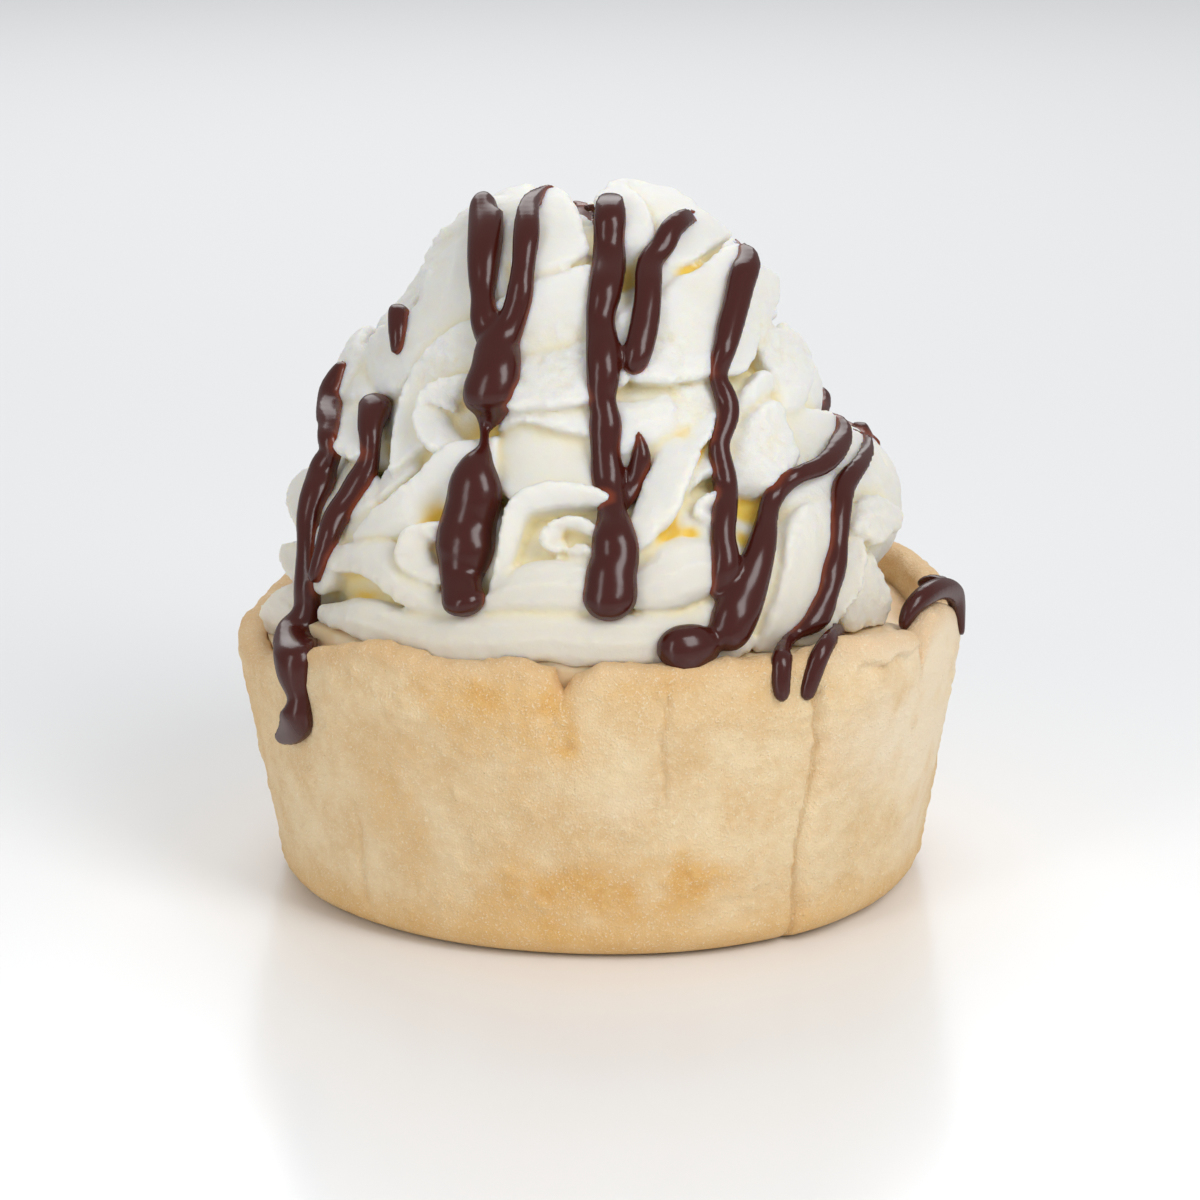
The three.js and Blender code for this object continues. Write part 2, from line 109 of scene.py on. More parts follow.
def smooth_shaded(piece):
    only(piece)
    bpy.ops.object.shade_smooth()


def long_ball(sides, rows):
    """A ball as a tube with closed ends: the share along it and the angle round it."""
    bpy.ops.mesh.primitive_uv_sphere_add(segments=sides, ring_count=rows, radius=1)
    body = bpy.context.object
    ball = points_of(body) * MM
    share = np.arccos(np.clip(-ball[:, 2], -1, 1)) / math.pi
    return body, share, np.arctan2(ball[:, 1], ball[:, 0])


def fine_ball(columns, rows):
    """A closed ball in a grid of columns and rows. Two halvings of a coarse one are quickest."""
    bpy.ops.mesh.primitive_uv_sphere_add(segments=columns // 4, ring_count=rows // 4, radius=1)
    body = bpy.context.object
    apply(body, "SUBSURF", subdivision_type="SIMPLE", levels=2, render_levels=2)
    ball = points_of(body)
    level = np.arctan2(np.hypot(ball[:, 0], ball[:, 1]), -ball[:, 2]) / math.pi
    turn = np.arctan2(ball[:, 0], -ball[:, 1])
    return body, level, turn


# %% [markdown]
# ## Steps, bumps and clouds
# Food is uneven, but softly so. These few curves and one smooth noise give all of its waves. The
# noise is drawn once from a fixed seed, so that every run gives the same tart.

# %% Soft curves and noise
def smooth_step(low, high, value):
    share = np.clip((value - low) / (high - low), 0, 1)
    return share * share * (3 - 2 * share)


def bump(centre, reach, value):
    return np.exp(-(((value - centre) / reach) ** 2))


def mix(a, b, share):
    return a + (b - a) * share


def around(azimuth, radius, height):
    """A point at this azimuth, in degrees: 0 is the front of the tart and 90 its right."""
    turn = np.radians(azimuth)
    return np.stack([radius * np.sin(turn), -radius * np.cos(turn), height + 0 * turn], axis=-1)


CELLS = 48
LATTICE = np.random.default_rng(11).uniform(-1, 1, (CELLS, CELLS, CELLS))


def soft_noise(points):
    """Random numbers on a lattice of whole places, blended smoothly in between."""
    cell = np.floor(points).astype(int)
    part = points - cell
    part = part * part * (3 - 2 * part)
    total = np.zeros(len(points))
    for corner in itertools.product((0, 1), repeat=3):
        share = np.prod(np.where(corner, part, 1 - part), axis=1)
        total += share * LATTICE[tuple(((cell + corner) % CELLS).T)]
    return total


def cloudy(points, size, seed=0.0, detail=3):
    """Smooth noise between about -1 and 1, with features of this size in millimetres."""
    total = np.zeros(len(points))
    for octave in range(detail):
        shift = (17.3 * seed + 3.7 * octave, 5.1 * seed, 9.7 * seed + octave)
        total += soft_noise(points / size * 2**octave + shift) / 2**octave
    return total


# %% [markdown]
# ## Camera
# The tart is seen from a little above, about fifteen degrees, through a long lens, so its sides
# run nearly parallel. The camera stands 560 mm away and looks at the middle of the tart.

# %% Camera
VIEW_RISE = math.radians(15.5)
VIEW_DISTANCE = 560
VIEW_MIDDLE = Vector((-0.2, 0, 33.6))
SENSOR = 36  # mm across
PHOTO_SIDE = 1200  # pixels across
PHOTO_SCALE = 7.96  # pixels to a millimetre at the middle of the tart
VIEW_LENS = SENSOR * PHOTO_SCALE * VIEW_DISTANCE / PHOTO_SIDE

bpy.ops.object.camera_add()
camera = bpy.context.object
looking = Vector((0, math.cos(VIEW_RISE), -math.sin(VIEW_RISE)))
camera.location = (VIEW_MIDDLE - VIEW_DISTANCE * looking) * MM
camera.rotation_euler = (math.pi / 2 - VIEW_RISE, 0, 0)
camera.data.lens = VIEW_LENS
camera.data.sensor_width = SENSOR
camera.data.clip_start = 0.01
bpy.context.scene.camera = camera
print("lens", round(VIEW_LENS, 1), "mm")

# %% [markdown]
# ## Table and light
# Bright, soft light from all round, a little stronger from the upper right, is what makes cream
# look light. Large area lights give the long soft gleams on the syrup.

# %% Table and lamps
TABLE_SIDE = 8  # metres, so that its edges are far out of view
LIT_MIDDLE = Vector((0, 0, 45))

bpy.ops.mesh.primitive_plane_add(size=TABLE_SIDE)
table = bpy.context.object
table.name = "table"


def lamp(name, place, width, height, power):
    """A flat lamp that faces the middle of the tart."""
    bpy.ops.object.light_add(type="AREA", location=Vector(place) * MM)
    light = bpy.context.object
    light.name = name
    light.data.shape = "RECTANGLE"
    light.data.size = width * MM
    light.data.size_y = height * MM
    light.data.energy = power
    beam = LIT_MIDDLE - Vector(place)
    light.rotation_euler = beam.to_track_quat("-Z", "Y").to_euler()


lamp("lamp_right", (420, -500, 560), 320, 560, 3.5)
lamp("lamp_left", (-520, -640, 330), 210, 640, 1.5)
lamp("lamp_back", (-60, 620, 560), 600, 600, 2.6)

world = bpy.data.worlds.new("studio")
bpy.context.scene.world = world
world.use_nodes = True
sky = world.node_tree.nodes["Background"].inputs
sky["Color"].default_value = (0.97, 0.985, 1, 1)
sky["Strength"].default_value = 0.47
bpy.context.scene.view_settings.view_transform = "Standard"

# %% [markdown]
# ## Sums made of nodes
# Shader maths reads best as plain sums. A Wire wraps a socket and adds a Math node for each
# operator. A Finish is one material, and its put() adds any other node from its type, its
# settings and the values of its sockets.


# %% Wires
class Wire:
    def __init__(self, finish, socket):
        self.finish = finish
        self.socket = socket

    def sum(self, operation, first, second):
        return self.finish.put("ShaderNodeMath", {"operation": operation}, {0: first, 1: second})

    def __add__(self, other):
        return self.sum("ADD", self, other)

    def __radd__(self, other):
        return self.sum("ADD", other, self)

    def __sub__(self, other):
        return self.sum("SUBTRACT", self, other)

    def __rsub__(self, other):
        return self.sum("SUBTRACT", other, self)

    def __mul__(self, other):
        return self.sum("MULTIPLY", self, other)

    def __rmul__(self, other):
        return self.sum("MULTIPLY", other, self)


# %% A finish
class Finish:
    def __init__(self, name):
        self.material = bpy.data.materials.new(name)
        self.material.use_nodes = True
        self.tree = self.material.node_tree
        self.tree.nodes.clear()

    def put(self, kind, settings=None, sockets=None, output=0):
        node = self.tree.nodes.new(kind)
        for name, value in (settings or {}).items():
            setattr(node, name, value)
        for name, value in (sockets or {}).items():
            if isinstance(value, Wire):
                self.tree.links.new(value.socket, node.inputs[name])
            else:
                node.inputs[name].default_value = value
        return Wire(self, node.outputs[output]) if len(node.outputs) else node

    def place(self):
        """Where a point of the piece is, in millimetres."""
        where = self.put("ShaderNodeTexCoord", output="Object")
        return self.put(
            "ShaderNodeVectorMath", {"operation": "SCALE"}, {0: where, "Scale": 1000.0}
        )

    def value(self, name):
        """A number that was painted on the points of the mesh."""
        return self.put("ShaderNodeAttribute", {"attribute_name": name}, output="Fac")

    def grain(self, where, size, detail=2.0, roughness=0.5):
        sockets = {"Vector": where, "Scale": 1 / size, "Detail": detail, "Roughness": roughness}
        return self.put("ShaderNodeTexNoise", {}, sockets)

    def ramp(self, low, high, value):
        """Runs smoothly from 0 at low to 1 at high."""
        settings = {"interpolation_type": "SMOOTHSTEP"}
        return self.put(
            "ShaderNodeMapRange", settings, {"Value": value, "From Min": low, "From Max": high}
        )

    def tint(self, factor, first, second):
        """A colour between two others: each is a wire or red, green and blue."""
        sockets = {0: factor}
        for socket, colour in ((6, first), (7, second)):
            sockets[socket] = colour if isinstance(colour, Wire) else (*colour, 1)
        return self.put("ShaderNodeMix", {"data_type": "RGBA"}, sockets, output=2)

    def relief(self, height, depth, strength=1.0):
        """Makes light see a fine relief, its depth in millimetres."""
        sockets = {"Height": height, "Distance": depth * MM, "Strength": strength}
        return self.put("ShaderNodeBump", {}, sockets)

    def surface(self, **sockets):
        named = {name.replace("_", " "): value for name, value in sockets.items()}
        skin = self.put("ShaderNodeBsdfPrincipled", {}, named)
        self.put("ShaderNodeOutputMaterial", {}, {"Surface": skin})
        return self.material


# %% Wear a finish, mix a colour and paint numbers on points
def wear(piece, material):
    piece.data.materials.clear()
    piece.data.materials.append(material)


def srgb(*levels):
    """Screen levels from 0 to 255 as the linear numbers that a shader takes."""
    shares = [level / 255 for level in levels]
    return tuple(s / 12.92 if s <= 0.04045 else ((s + 0.055) / 1.055) ** 2.4 for s in shares)


def paint(piece, name, values):
    """Stores one number for every point of the mesh."""
    layer = piece.data.attributes.new(name, "FLOAT", "POINT")
    layer.data.foreach_set("value", np.asarray(values, dtype=np.float32))


plain = Finish("table_white")
wear(table, plain.surface(Base_Color=(0.93, 0.935, 0.945, 1), Roughness=0.22))

# %% [markdown]
# ## The pastry cup
# The real cup is a disc of short dough pressed into a mould by hand, so it is round but wavy. A
# ball that is pushed in from above has just that build: one closed skin with an outside, a rim
# and an inside. Each ring of a fine sphere is given a place on the half section of the cup.

# %% Measures of the cup
BASE_RADIUS = 40.2
FLARE = 0.165
FLARE_TOP = 31
TURN_IN = 0.09
FOOT_RADIUS = 36.5
CORNER = 4.2
SQUARENESS = 0.012
WALL = 3.8
FLOOR = 4.2
RIM_ROUND = 1.6  # the rim is rounded over this much of its height
NOISE_RING = 40  # noise that goes round the cup is read on a ring of this radius

# azimuth and height of the rim
RIM = np.array(
    [
        (-180, 32.5), (-140, 33.5), (-100, 31), (-85, 32), (-72, 30.8), (-60, 33), (-48, 36.1),
        (-38, 38.3), (-25, 37.4), (-12, 38.3), (-7.5, 36.9), (-6, 34.4), (-4.5, 36.4), (0, 38),
        (31, 37.6), (37.5, 38.7), (46, 38.2), (53, 37.6), (55.6, 37), (56.6, 32.9), (57.6, 34.8),
        (61, 36.5), (66, 37.8), (72, 37.1), (78, 35.6), (88, 33.6), (120, 34.8), (150, 33.2),
        (180, 32.5),
    ]
).T
CREASES = (
    {"at": 9.4, "depth": 0.55, "half": 0.45, "low": 20, "high": 35},
    {"at": -43, "depth": 0.45, "half": 0.6, "low": 4, "high": 17},
    {"at": -6, "depth": 0.9, "half": 2.6, "low": 27, "high": 40},
    {"at": 140, "depth": 0.5, "half": 2.0, "low": 8, "high": 30},
    {"at": -130, "depth": 0.6, "half": 2.0, "low": 12, "high": 34},
)
SEAM = {"at": 33.5, "lap": 0.8, "groove": 0.9, "half": 0.5, "low": 2, "high": 34}
FLAP = {"out": 1.0, "left": (38, 43), "right": (55.4, 56.2), "above": (34.9, 35.5)}


def rim_height(azimuth):
    return np.interp(azimuth, RIM[0], RIM[1])


def pressed(azimuth, height):
    """Slow waves that the fingers leave on both faces of the wall."""
    a = np.radians(azimuth)
    waves = 0.3 * np.sin(3 * a + 0.6) + 0.25 * np.sin(5 * a + 0.09 * height)
    return waves + 0.15 * np.sin(9 * a - 0.16 * height)


def between(low, high, height, soft=2):
    """1 from low to high, and fading out past both."""
    above = smooth_step(low - soft, low + soft, height)
    return above * (1 - smooth_step(high - soft, high + soft, height))


def creased(azimuth, height):
    """Creases in the outside, the loose flap, and the seam where the dough laps over itself."""
    out = 0 * azimuth
    for c in CREASES:
        along = between(c["low"], c["high"], height)
        wander = 0.4 * np.sin(0.5 * height + c["at"]) + 0.15 * np.sin(1.9 * height)
        out = out - c["depth"] * along * bump(c["at"] + wander, c["half"], azimuth)
    flap = smooth_step(*FLAP["left"], azimuth) * (1 - smooth_step(*FLAP["right"], azimuth))
    ledge = smooth_step(*FLAP["above"], height + 0.3 * np.sin(azimuth))
    out = out + FLAP["out"] * flap * ledge
    beyond = azimuth - SEAM["at"] - 0.7 * np.sin(0.28 * height + 1) - 0.15 * np.sin(1.7 * height)
    along = between(SEAM["low"], SEAM["high"], height)
    lap = smooth_step(0, 1.5, beyond) * (1 - smooth_step(4, 22, beyond))
    return out + along * (SEAM["lap"] * lap - SEAM["groove"] * bump(-0.4, SEAM["half"], beyond))


def wall_radius(azimuth, height):
    flared = BASE_RADIUS + FLARE * np.minimum(height, FLARE_TOP)
    turned = flared - TURN_IN * np.maximum(0, height - FLARE_TOP)
    return turned * (1 + SQUARENESS * (1 - np.cos(4 * np.radians(azimuth))))


# %% [markdown]
# ### Pressing the ball into a cup
# Row by row the ball becomes foot, corner, outside, rim, inside and floor. Its columns are drawn
# together in front, where the skin is seen and has to be fine.

# %% Press the cup
CUP_COLUMNS = 640
CUP_ROWS = {"foot": 8, "corner": 9, "outside": 78, "rim": 11, "inside": 20, "floor": 6}
FRONT_FOCUS = 0.3
RIM_CRUMBS = 0.22


def pressed_cup():
    rows = sum(CUP_ROWS.values())
    cup, level, turn = fine_ball(CUP_COLUMNS, rows)
    cup.name = "pastry"
    row = np.rint(level * rows)
    azimuth = np.degrees(turn - FRONT_FOCUS * np.sin(turn))
    crumbs = cloudy(around(azimuth, NOISE_RING, 0), 2.6, 3)
    brink = rim_height(azimuth) + RIM_CRUMBS * crumbs - RIM_ROUND

    def wall(height):
        return wall_radius(azimuth, height) + pressed(azimuth, height)

    points = np.zeros((len(row), 3))
    kind = np.zeros(len(row))
    start = 0
    for name, count in CUP_ROWS.items():
        mine = (row >= start) & (row <= start + count)
        share = np.clip((row - start) / count, 0, 1)
        if name == "foot":
            radius = FOOT_RADIUS * share ** 0.6
            height = 0
        elif name == "corner":
            reach = wall(CORNER) + creased(azimuth, CORNER) - FOOT_RADIUS
            radius = FOOT_RADIUS + reach * np.sin(share * math.pi / 2)
            height = CORNER * (1 - np.cos(share * math.pi / 2))
        elif name == "outside":
            height = mix(CORNER, brink, share)
            radius = wall(height) + creased(azimuth, height)
        elif name == "rim":
            arc = math.pi * share
            height = brink + RIM_ROUND * np.sin(arc)
            middle = wall(brink) + creased(azimuth, brink) - WALL / 2
            radius = middle + WALL / 2 * np.sign(np.cos(arc)) * np.abs(np.cos(arc)) ** 0.8
        elif name == "inside":
            height = mix(brink, FLOOR, share)
            radius = wall(height) - WALL + creased(azimuth, brink) * (1 - share)
        else:
            radius = (wall(FLOOR) - WALL) * (1 - share)
            height = FLOOR
        points[mine] = around(azimuth, radius, height)[mine]
        kind[mine] = list(CUP_ROWS).index(name)
        start += count
    move_points(cup, points)
    return cup, kind, azimuth


cup, cup_kind, cup_azimuth = pressed_cup()
print("cup points:", len(cup.data.vertices))

# %% [markdown]
# ### The skin of the pastry
# Baked dough is never smooth: it has shallow dents, low blisters and a fine sugary grit. The
# dents, the blisters and the coarser grit are real relief in the mesh. The finest grit is left to
# the bump in the material. Where the cup browned, and a painted shade in the creases of the
# outside, are painted on the points for the finish to read.

# %% Dents, blisters, browned places and painted crease shade
BROWNED = (
    # azimuth, height, reach in degrees, reach in mm, strength: a negative one is a pale place
    (-12, 27, 14, 7, 0.5),
    (-16, 8, 16, 7, 0.5),
    (1, 8, 14, 7, 0.55),
    (14, 11, 9, 5, 0.6),
    (8, 36, 8, 3, 0.7),
    (-20, 34, 12, 4, 0.6),
    (62, 24, 24, 18, -0.9),
    (47, 38, 9, 2.5, -0.6),
    (72, 35, 9, 4, -0.6),
    (2, 20, 10, 5, -0.4),
    (26, 33, 10, 4, 0.4),
    (48, 12, 12, 8, 0.6),
    (-34, 20, 8, 8, 0.4),
    (110, 12, 24, 8, 0.7),
    (170, 20, 22, 8, 0.7),
    (-120, 9, 26, 6, 0.7),
    (-80, 24, 14, 8, 0.5),
)


def baked(cup, kind, azimuth):
    points, normals = points_of(cup), normals_of(cup)
    outer = (kind >= 1) & (kind <= 3)
    near = points[outer]
    dents = cloudy(near, 11, 1, 2)
    blisters = np.maximum(0, cloudy(near, 2.0, 5, 3) - 0.2)
    grit = cloudy(near, 0.9, 8, 2)
    lift = 0.2 * dents + 0.3 * blisters + 0.06 * grit
    fade = smooth_step(0.2, 3, near[:, 2])
    points[outer] += normals[outer] * (lift * fade)[:, None]
    points[:, 2] = np.maximum(points[:, 2], 0)
    move_points(cup, points)
    # painted shade: the creases of the outside are painted darker, and the browned places are added
    # to them
    browning_and_crease_shade = 0.35 * smooth_step(0.1, 0.7, -creased(azimuth, points[:, 2])) * outer
    for at, height, wide, tall, strength in BROWNED:
        away = (azimuth - at + 180) % 360 - 180
        browning_and_crease_shade += strength * bump(0, wide, away) * bump(height, tall, points[:, 2])
    patchy = np.zeros(len(points))
    patchy[outer] = 0.6 * cloudy(near, 4, 2, 3)
    paint(cup, "browning_and_crease_shade", np.clip(browning_and_crease_shade * (1 + patchy), -0.8, 1.2))
    rim = rim_height(azimuth)
    paint(cup, "edge", smooth_step(-3.2, -0.4, points[:, 2] - rim) * (kind >= 2))
    smooth_shaded(cup)
    print("pastry relief from", round(lift.min(), 2), "to", round(lift.max(), 2), "mm")


baked(cup, cup_kind, cup_azimuth)


# %% [markdown]
# ### The baked colour
# Shortcrust bakes pale straw where the dough is thick and gold where it is thin or touches the
# mould. Large clouds and fine mottling mix the two, the painted places bring in the gold and a
# painted shade in the creases, and small pale crumbs and a few brown specks lie on top.

# %% Finish of the pastry
def pastry_finish():
    f = Finish("baked_pastry")
    where = f.place()
    height = f.put("ShaderNodeSeparateXYZ", {}, {0: where}, output=2)
    clouds = f.grain(where, 8.0, 4.0, 0.6)
    mottle = f.grain(where, 1.3, 5.0, 0.7)
    grit = f.grain(where, 0.26, 2.0, 0.6)
    pale = f.tint(f.ramp(0.3, 0.7, clouds), srgb(228, 192, 140), srgb(242, 217, 175))
    pale = f.tint(f.ramp(0.42, 0.72, mottle) * 0.45, pale, srgb(244, 224, 186))
    gold = f.tint(f.ramp(0.3, 0.7, mottle), srgb(222, 167, 90), srgb(232, 188, 120))
    # gold where the pastry browned, together with the painted shade in the creases
    crust = f.tint(f.ramp(0.1, 1.1, f.value("browning_and_crease_shade") + 1.2 * (mottle - 0.5)), pale, gold)
    crust = f.tint(f.ramp(0.0, 0.9, 0 - f.value("browning_and_crease_shade")), crust, srgb(247, 227, 196))
    crust = f.tint(f.value("edge") * 0.5, crust, srgb(224, 180, 126))
    crust = f.tint((1 - f.ramp(0.5, 9.0, height)) * 0.6, crust, srgb(224, 174, 96))
    dots = f.put("ShaderNodeTexVoronoi", {}, {"Vector": where, "Scale": 0.55})
    crust = f.tint((1 - f.ramp(0.03, 0.08, dots)) * 0.4, crust, srgb(160, 118, 70))
    crust = f.tint(f.ramp(0.55, 0.72, grit) * 0.6, crust, srgb(250, 238, 214))
    bumps = mottle * 0.9 + grit
    return f.surface(
        Base_Color=crust,
        Roughness=0.62 + 0.2 * grit,
        Specular_IOR_Level=0.35,
        Subsurface_Weight=0.12,
        Subsurface_Radius=(1.0, 0.55, 0.3),
        Subsurface_Scale=0.001,
        Normal=f.relief(bumps, 0.24, 1.0),
    )


wear(cup, pastry_finish())

# %% [markdown]
# ## The filling
# A smooth, set filling that stands almost level with the raised front of the rim. It shows in the
# notch of the rim, inside the rim at the right, and as a ring behind the cream. A flattened ball
# gives a closed body: its lowest rows are the underside, the next the side, the rest the surface.

# %% Filling
FILLING_FRONT = 36.9
FILLING_SIDES = 31.6
FILLING_GAP = 0.1
UNDERSIDE = 0.3  # the rows of the ball up to this share
SIDE = 0.45


def filling_top(azimuth):
    front = smooth_step(-72, -58, azimuth) * (1 - smooth_step(62, 86, azimuth))
    top = FILLING_SIDES + (FILLING_FRONT - FILLING_SIDES) * front
    return top + 0.9 * bump(-6, 8, azimuth) - 3 * bump(88, 26, azimuth)


def filling_surface(azimuth, share):
    middle = (FILLING_FRONT + FILLING_SIDES) / 2
    return mix(middle, filling_top(azimuth), np.clip(share / 0.97, 0, 1))


def set_filling():
    body, level, turn = fine_ball(320, 60)
    body.name = "custard"
    azimuth = np.degrees(turn)
    share = np.where(level < UNDERSIDE, level / UNDERSIDE, (1 - level) / (1 - SIDE))
    share = np.where((level >= UNDERSIDE) & (level <= SIDE), 1, np.clip(share, 0, 1))
    top = filling_surface(azimuth, share)
    height = mix(FLOOR + FILLING_GAP, top, smooth_step(UNDERSIDE, SIDE, level))
    waves = cloudy(around(azimuth, NOISE_RING * share, 0), 9, 4, 2)
    height = height + 0.25 * waves * (level > SIDE) - 0.5 * bump(1, 0.03, share) * (level > 0.4)
    radius = wall_radius(azimuth, height) + pressed(azimuth, height) - WALL - FILLING_GAP
    move_points(body, around(azimuth, radius * share, height))
    smooth_shaded(body)
    return body


filling = set_filling()
print("filling stands", FILLING_SIDES, "to", FILLING_FRONT, "mm high")

# %% [markdown]
# ### The moist skin of the filling
# Light enters a soft filling a little, so some subsurface scattering and a low roughness make it
# look moist. Two warm tones in slow clouds keep it from looking like plastic.


# %% Finish of the filling
def filling_finish():
    f = Finish("set_filling")
    where = f.place()
    clouds = f.grain(where, 4.0, 3.0)
    colour = f.tint(f.ramp(0.3, 0.7, clouds), srgb(228, 196, 150), srgb(240, 216, 184))
    return f.surface(
        Base_Color=colour,
        Roughness=0.34 + 0.2 * clouds,
        Subsurface_Weight=0.5,
        Subsurface_Radius=(1.0, 0.6, 0.3),
        Subsurface_Scale=0.003,
        Normal=f.relief(f.grain(where, 1.2, 2.0), 0.1, 0.5),
    )


wear(filling, filling_finish())

# %% [markdown]
# ## The heap of whipped cream
# The cream was piped through a star nozzle in rounds that get smaller upwards, and it folded over
# itself as it fell. From behind one sees the slanted ridges of the rounds. In front lie broad
# folds with soft hollow faces and thin, slightly torn lips. Each round and each fold is a closed
# ball that is bent to shape. They are joined, and a voxel remesh melts them into one skin, which
# gives the deep narrow creases that no flat relief can give.

# %% Outline of the heap
# height and radius
HEAP = np.array(
    [
        (30, 38.6), (34, 40), (40, 40), (44, 39.2), (48, 38), (52, 36), (56, 33), (60, 30),
        (64, 28), (68, 26), (72, 23.5), (76, 22), (80, 19.5), (84, 14), (86, 8.5), (87.4, 0),
    ]
).T
HEART = 45  # height of the middle of the heap, from which rises are seen
ARM = 40  # directions from the heart are drawn out to this length before they are blended


def heap_outline():
    """Height, radius and outward direction along the outline, and the rise seen from the heart."""
    height, radius = HEAP
    run = np.concatenate([[0], np.cumsum(np.hypot(np.diff(height), np.diff(radius)))])
    steps = np.linspace(0, run[-1], 400)
    height, radius = np.interp(steps, run, height), np.interp(steps, run, radius)
    reach = 7
    size = 2 * reach + 1
    for line in (height, radius):
        ends = (2 * line[0] - line[reach:0:-1], line, 2 * line[-1] - line[-2 : -2 - reach : -1])
        line[:] = np.convolve(np.concatenate(ends), np.ones(size) / size, "valid")
    radius[-1] = 0
    up, out = np.gradient(height), np.gradient(radius)
    length = np.hypot(up, out)
    rise = np.degrees(np.arctan2(height - HEART, radius))
    return {
        "rise": rise, "height": height, "radius": radius, "out": up / length, "up": -out / length
    }


OUTLINE = heap_outline()
print("heap from", HEAP[0][0], "to", HEAP[0][-1], "mm")


# %% Places on the heap, and curves over it
def toward(azimuth, rise):
    """Unit direction from the heart of the heap."""
    flat = np.cos(np.radians(rise))
    turn = np.radians(azimuth)
    return np.stack([flat * np.sin(turn), -flat * np.cos(turn), np.sin(np.radians(rise))], axis=-1)


def on_heap(direction, lift):
    """Points on the heap in these directions, lifted off it, and the way out of it there."""
    direction = direction / np.linalg.norm(direction, axis=-1, keepdims=True)
    rise = np.degrees(np.arcsin(direction[..., 2]))
    look = {name: np.interp(rise, OUTLINE["rise"], line) for name, line in OUTLINE.items()}
    flat = direction[..., :2] / (np.linalg.norm(direction[..., :2], axis=-1, keepdims=True) + 1e-9)
    out = np.concatenate([flat * look["out"][..., None], look["up"][..., None]], axis=-1)
    foot = np.concatenate([flat * look["radius"][..., None], look["height"][..., None]], axis=-1)
    return foot + out * np.asarray(lift)[..., None], out


def walked(stops):
    """How far it is along a line to each of its stops."""
    return np.concatenate([[0], np.cumsum(np.linalg.norm(np.diff(stops, axis=0), axis=1))])


def curved(stops, shares):
    """A smooth curve through the stops, read at shares of its length."""
    stops = np.asarray(stops, float)
    run = walked(stops)
    at = np.asarray(shares) * run[-1]
    piece = np.clip(np.searchsorted(run, at, side="right") - 1, 0, len(stops) - 2)
    t = ((at - run[piece]) / (run[piece + 1] - run[piece]))[:, None]
    padded = np.concatenate([2 * stops[:1] - stops[1:2], stops, 2 * stops[-1:] - stops[-2:-1]])
    a, b, c, d = (padded[piece + k] for k in range(4))
    return 0.5 * (
        2 * b + (c - a) * t + (2 * a - 5 * b + 4 * c - d) * t**2 + (3 * b - a - 3 * c + d) * t**3
    )


# %% [markdown]
# ### The piped rounds
# Each round is a ball pressed into a fat ring. The grooves between its ridges climb to the right,
# as the nozzle leaves them. In front the round is thinner, because the folds lie on it there.

# %% Piped rounds
ROUNDS = (
    {"ring": 28.6, "height": 44.6, "thick": 10, "ridges": 22, "climb": 30, "lean": 1.4,
     "start": 0.2, "foot": 29},
    {"ring": 20.4, "height": 57.6, "thick": 9.6, "ridges": 16, "climb": 38, "lean": 0.8,
     "start": 0.9, "foot": 50},
    {"ring": 12.4, "height": 71.2, "thick": 10.2, "ridges": 11, "climb": 46, "lean": -0.8,
     "start": 0.5, "foot": 63},
)
GROOVE = 3.0
FRONT_CUT = 0.9
RIGHT_WAIST = 2.6
POLE = 0.12  # share of the ball's rows that closes the ring below, and again above


def piped_round(ring, height, thick, ridges, climb, lean, start, foot):
    body, level, turn = fine_ball(480, 72)
    azimuth = np.degrees(turn)
    rise = mix(-90, 82, np.clip((level - POLE) / (1 - 2 * POLE), 0, 1))
    arc = np.radians(rise)
    wander = 4 * np.sin(3 * np.radians(azimuth) + 5 * start) + 3 * np.sin(
        7 * np.radians(azimuth) + start + arc
    )
    phase = (azimuth + wander) * ridges / 360 + 0.5 * start
    phase = phase + 0.09 * np.sin(2 * math.pi * phase)
    ridge = np.abs(np.sin(math.pi * phase)) ** 0.75
    vary = 0.75 + 0.25 * np.sin(2.3 * azimuth / 10 + 3 * start)
    turned = azimuth + climb * rise / 90
    swell = 0.6 * np.sin(2 * np.radians(turned) + start) + 0.5 * np.sin(5 * np.radians(turned))
    front = smooth_step(-100, -70, turned) * (1 - smooth_step(72, 100, turned))
    groove = GROOVE * vary * (1 - ridge) * np.cos(0.8 * arc)
    waist = RIGHT_WAIST * bump(92, 26, azimuth) * bump(18, 12, ring)
    reach = thick + swell - mix(groove, FRONT_CUT, front) - waist
    lift = lean * np.sin(np.radians(turned))
    points = around(turned, ring + reach * np.cos(arc), height + lift + reach * np.sin(arc))
    edge = points.copy()
    low = level < POLE
    points[low] = around(turned, (ring + 0.8 * reach) * level / POLE, foot)[low]
    points[:, 2] = np.maximum(points[:, 2], foot)
    top = level > 1 - POLE
    share = ((level - (1 - POLE)) / POLE)[:, None]
    points[top] = mix(edge, around(turned, 0, height + thick), share)[top]
    move_points(body, points)
    return body


rounds = [piped_round(**measures) for measures in ROUNDS]
print(len(rounds), "rounds")

# %% [markdown]
# ### The folds
# A fold is a band between two edges. Each stop of an edge is the azimuth, the rise seen from the
# heart of the heap, and how far the cream stands off the heap there, in millimetres. An edge that
# stands off is a lip with a shadow under it, and an edge with a negative number dips under its
# neighbour. The crown is how much the middle of the band swells. No two folds are alike, so each
# has its own stops.

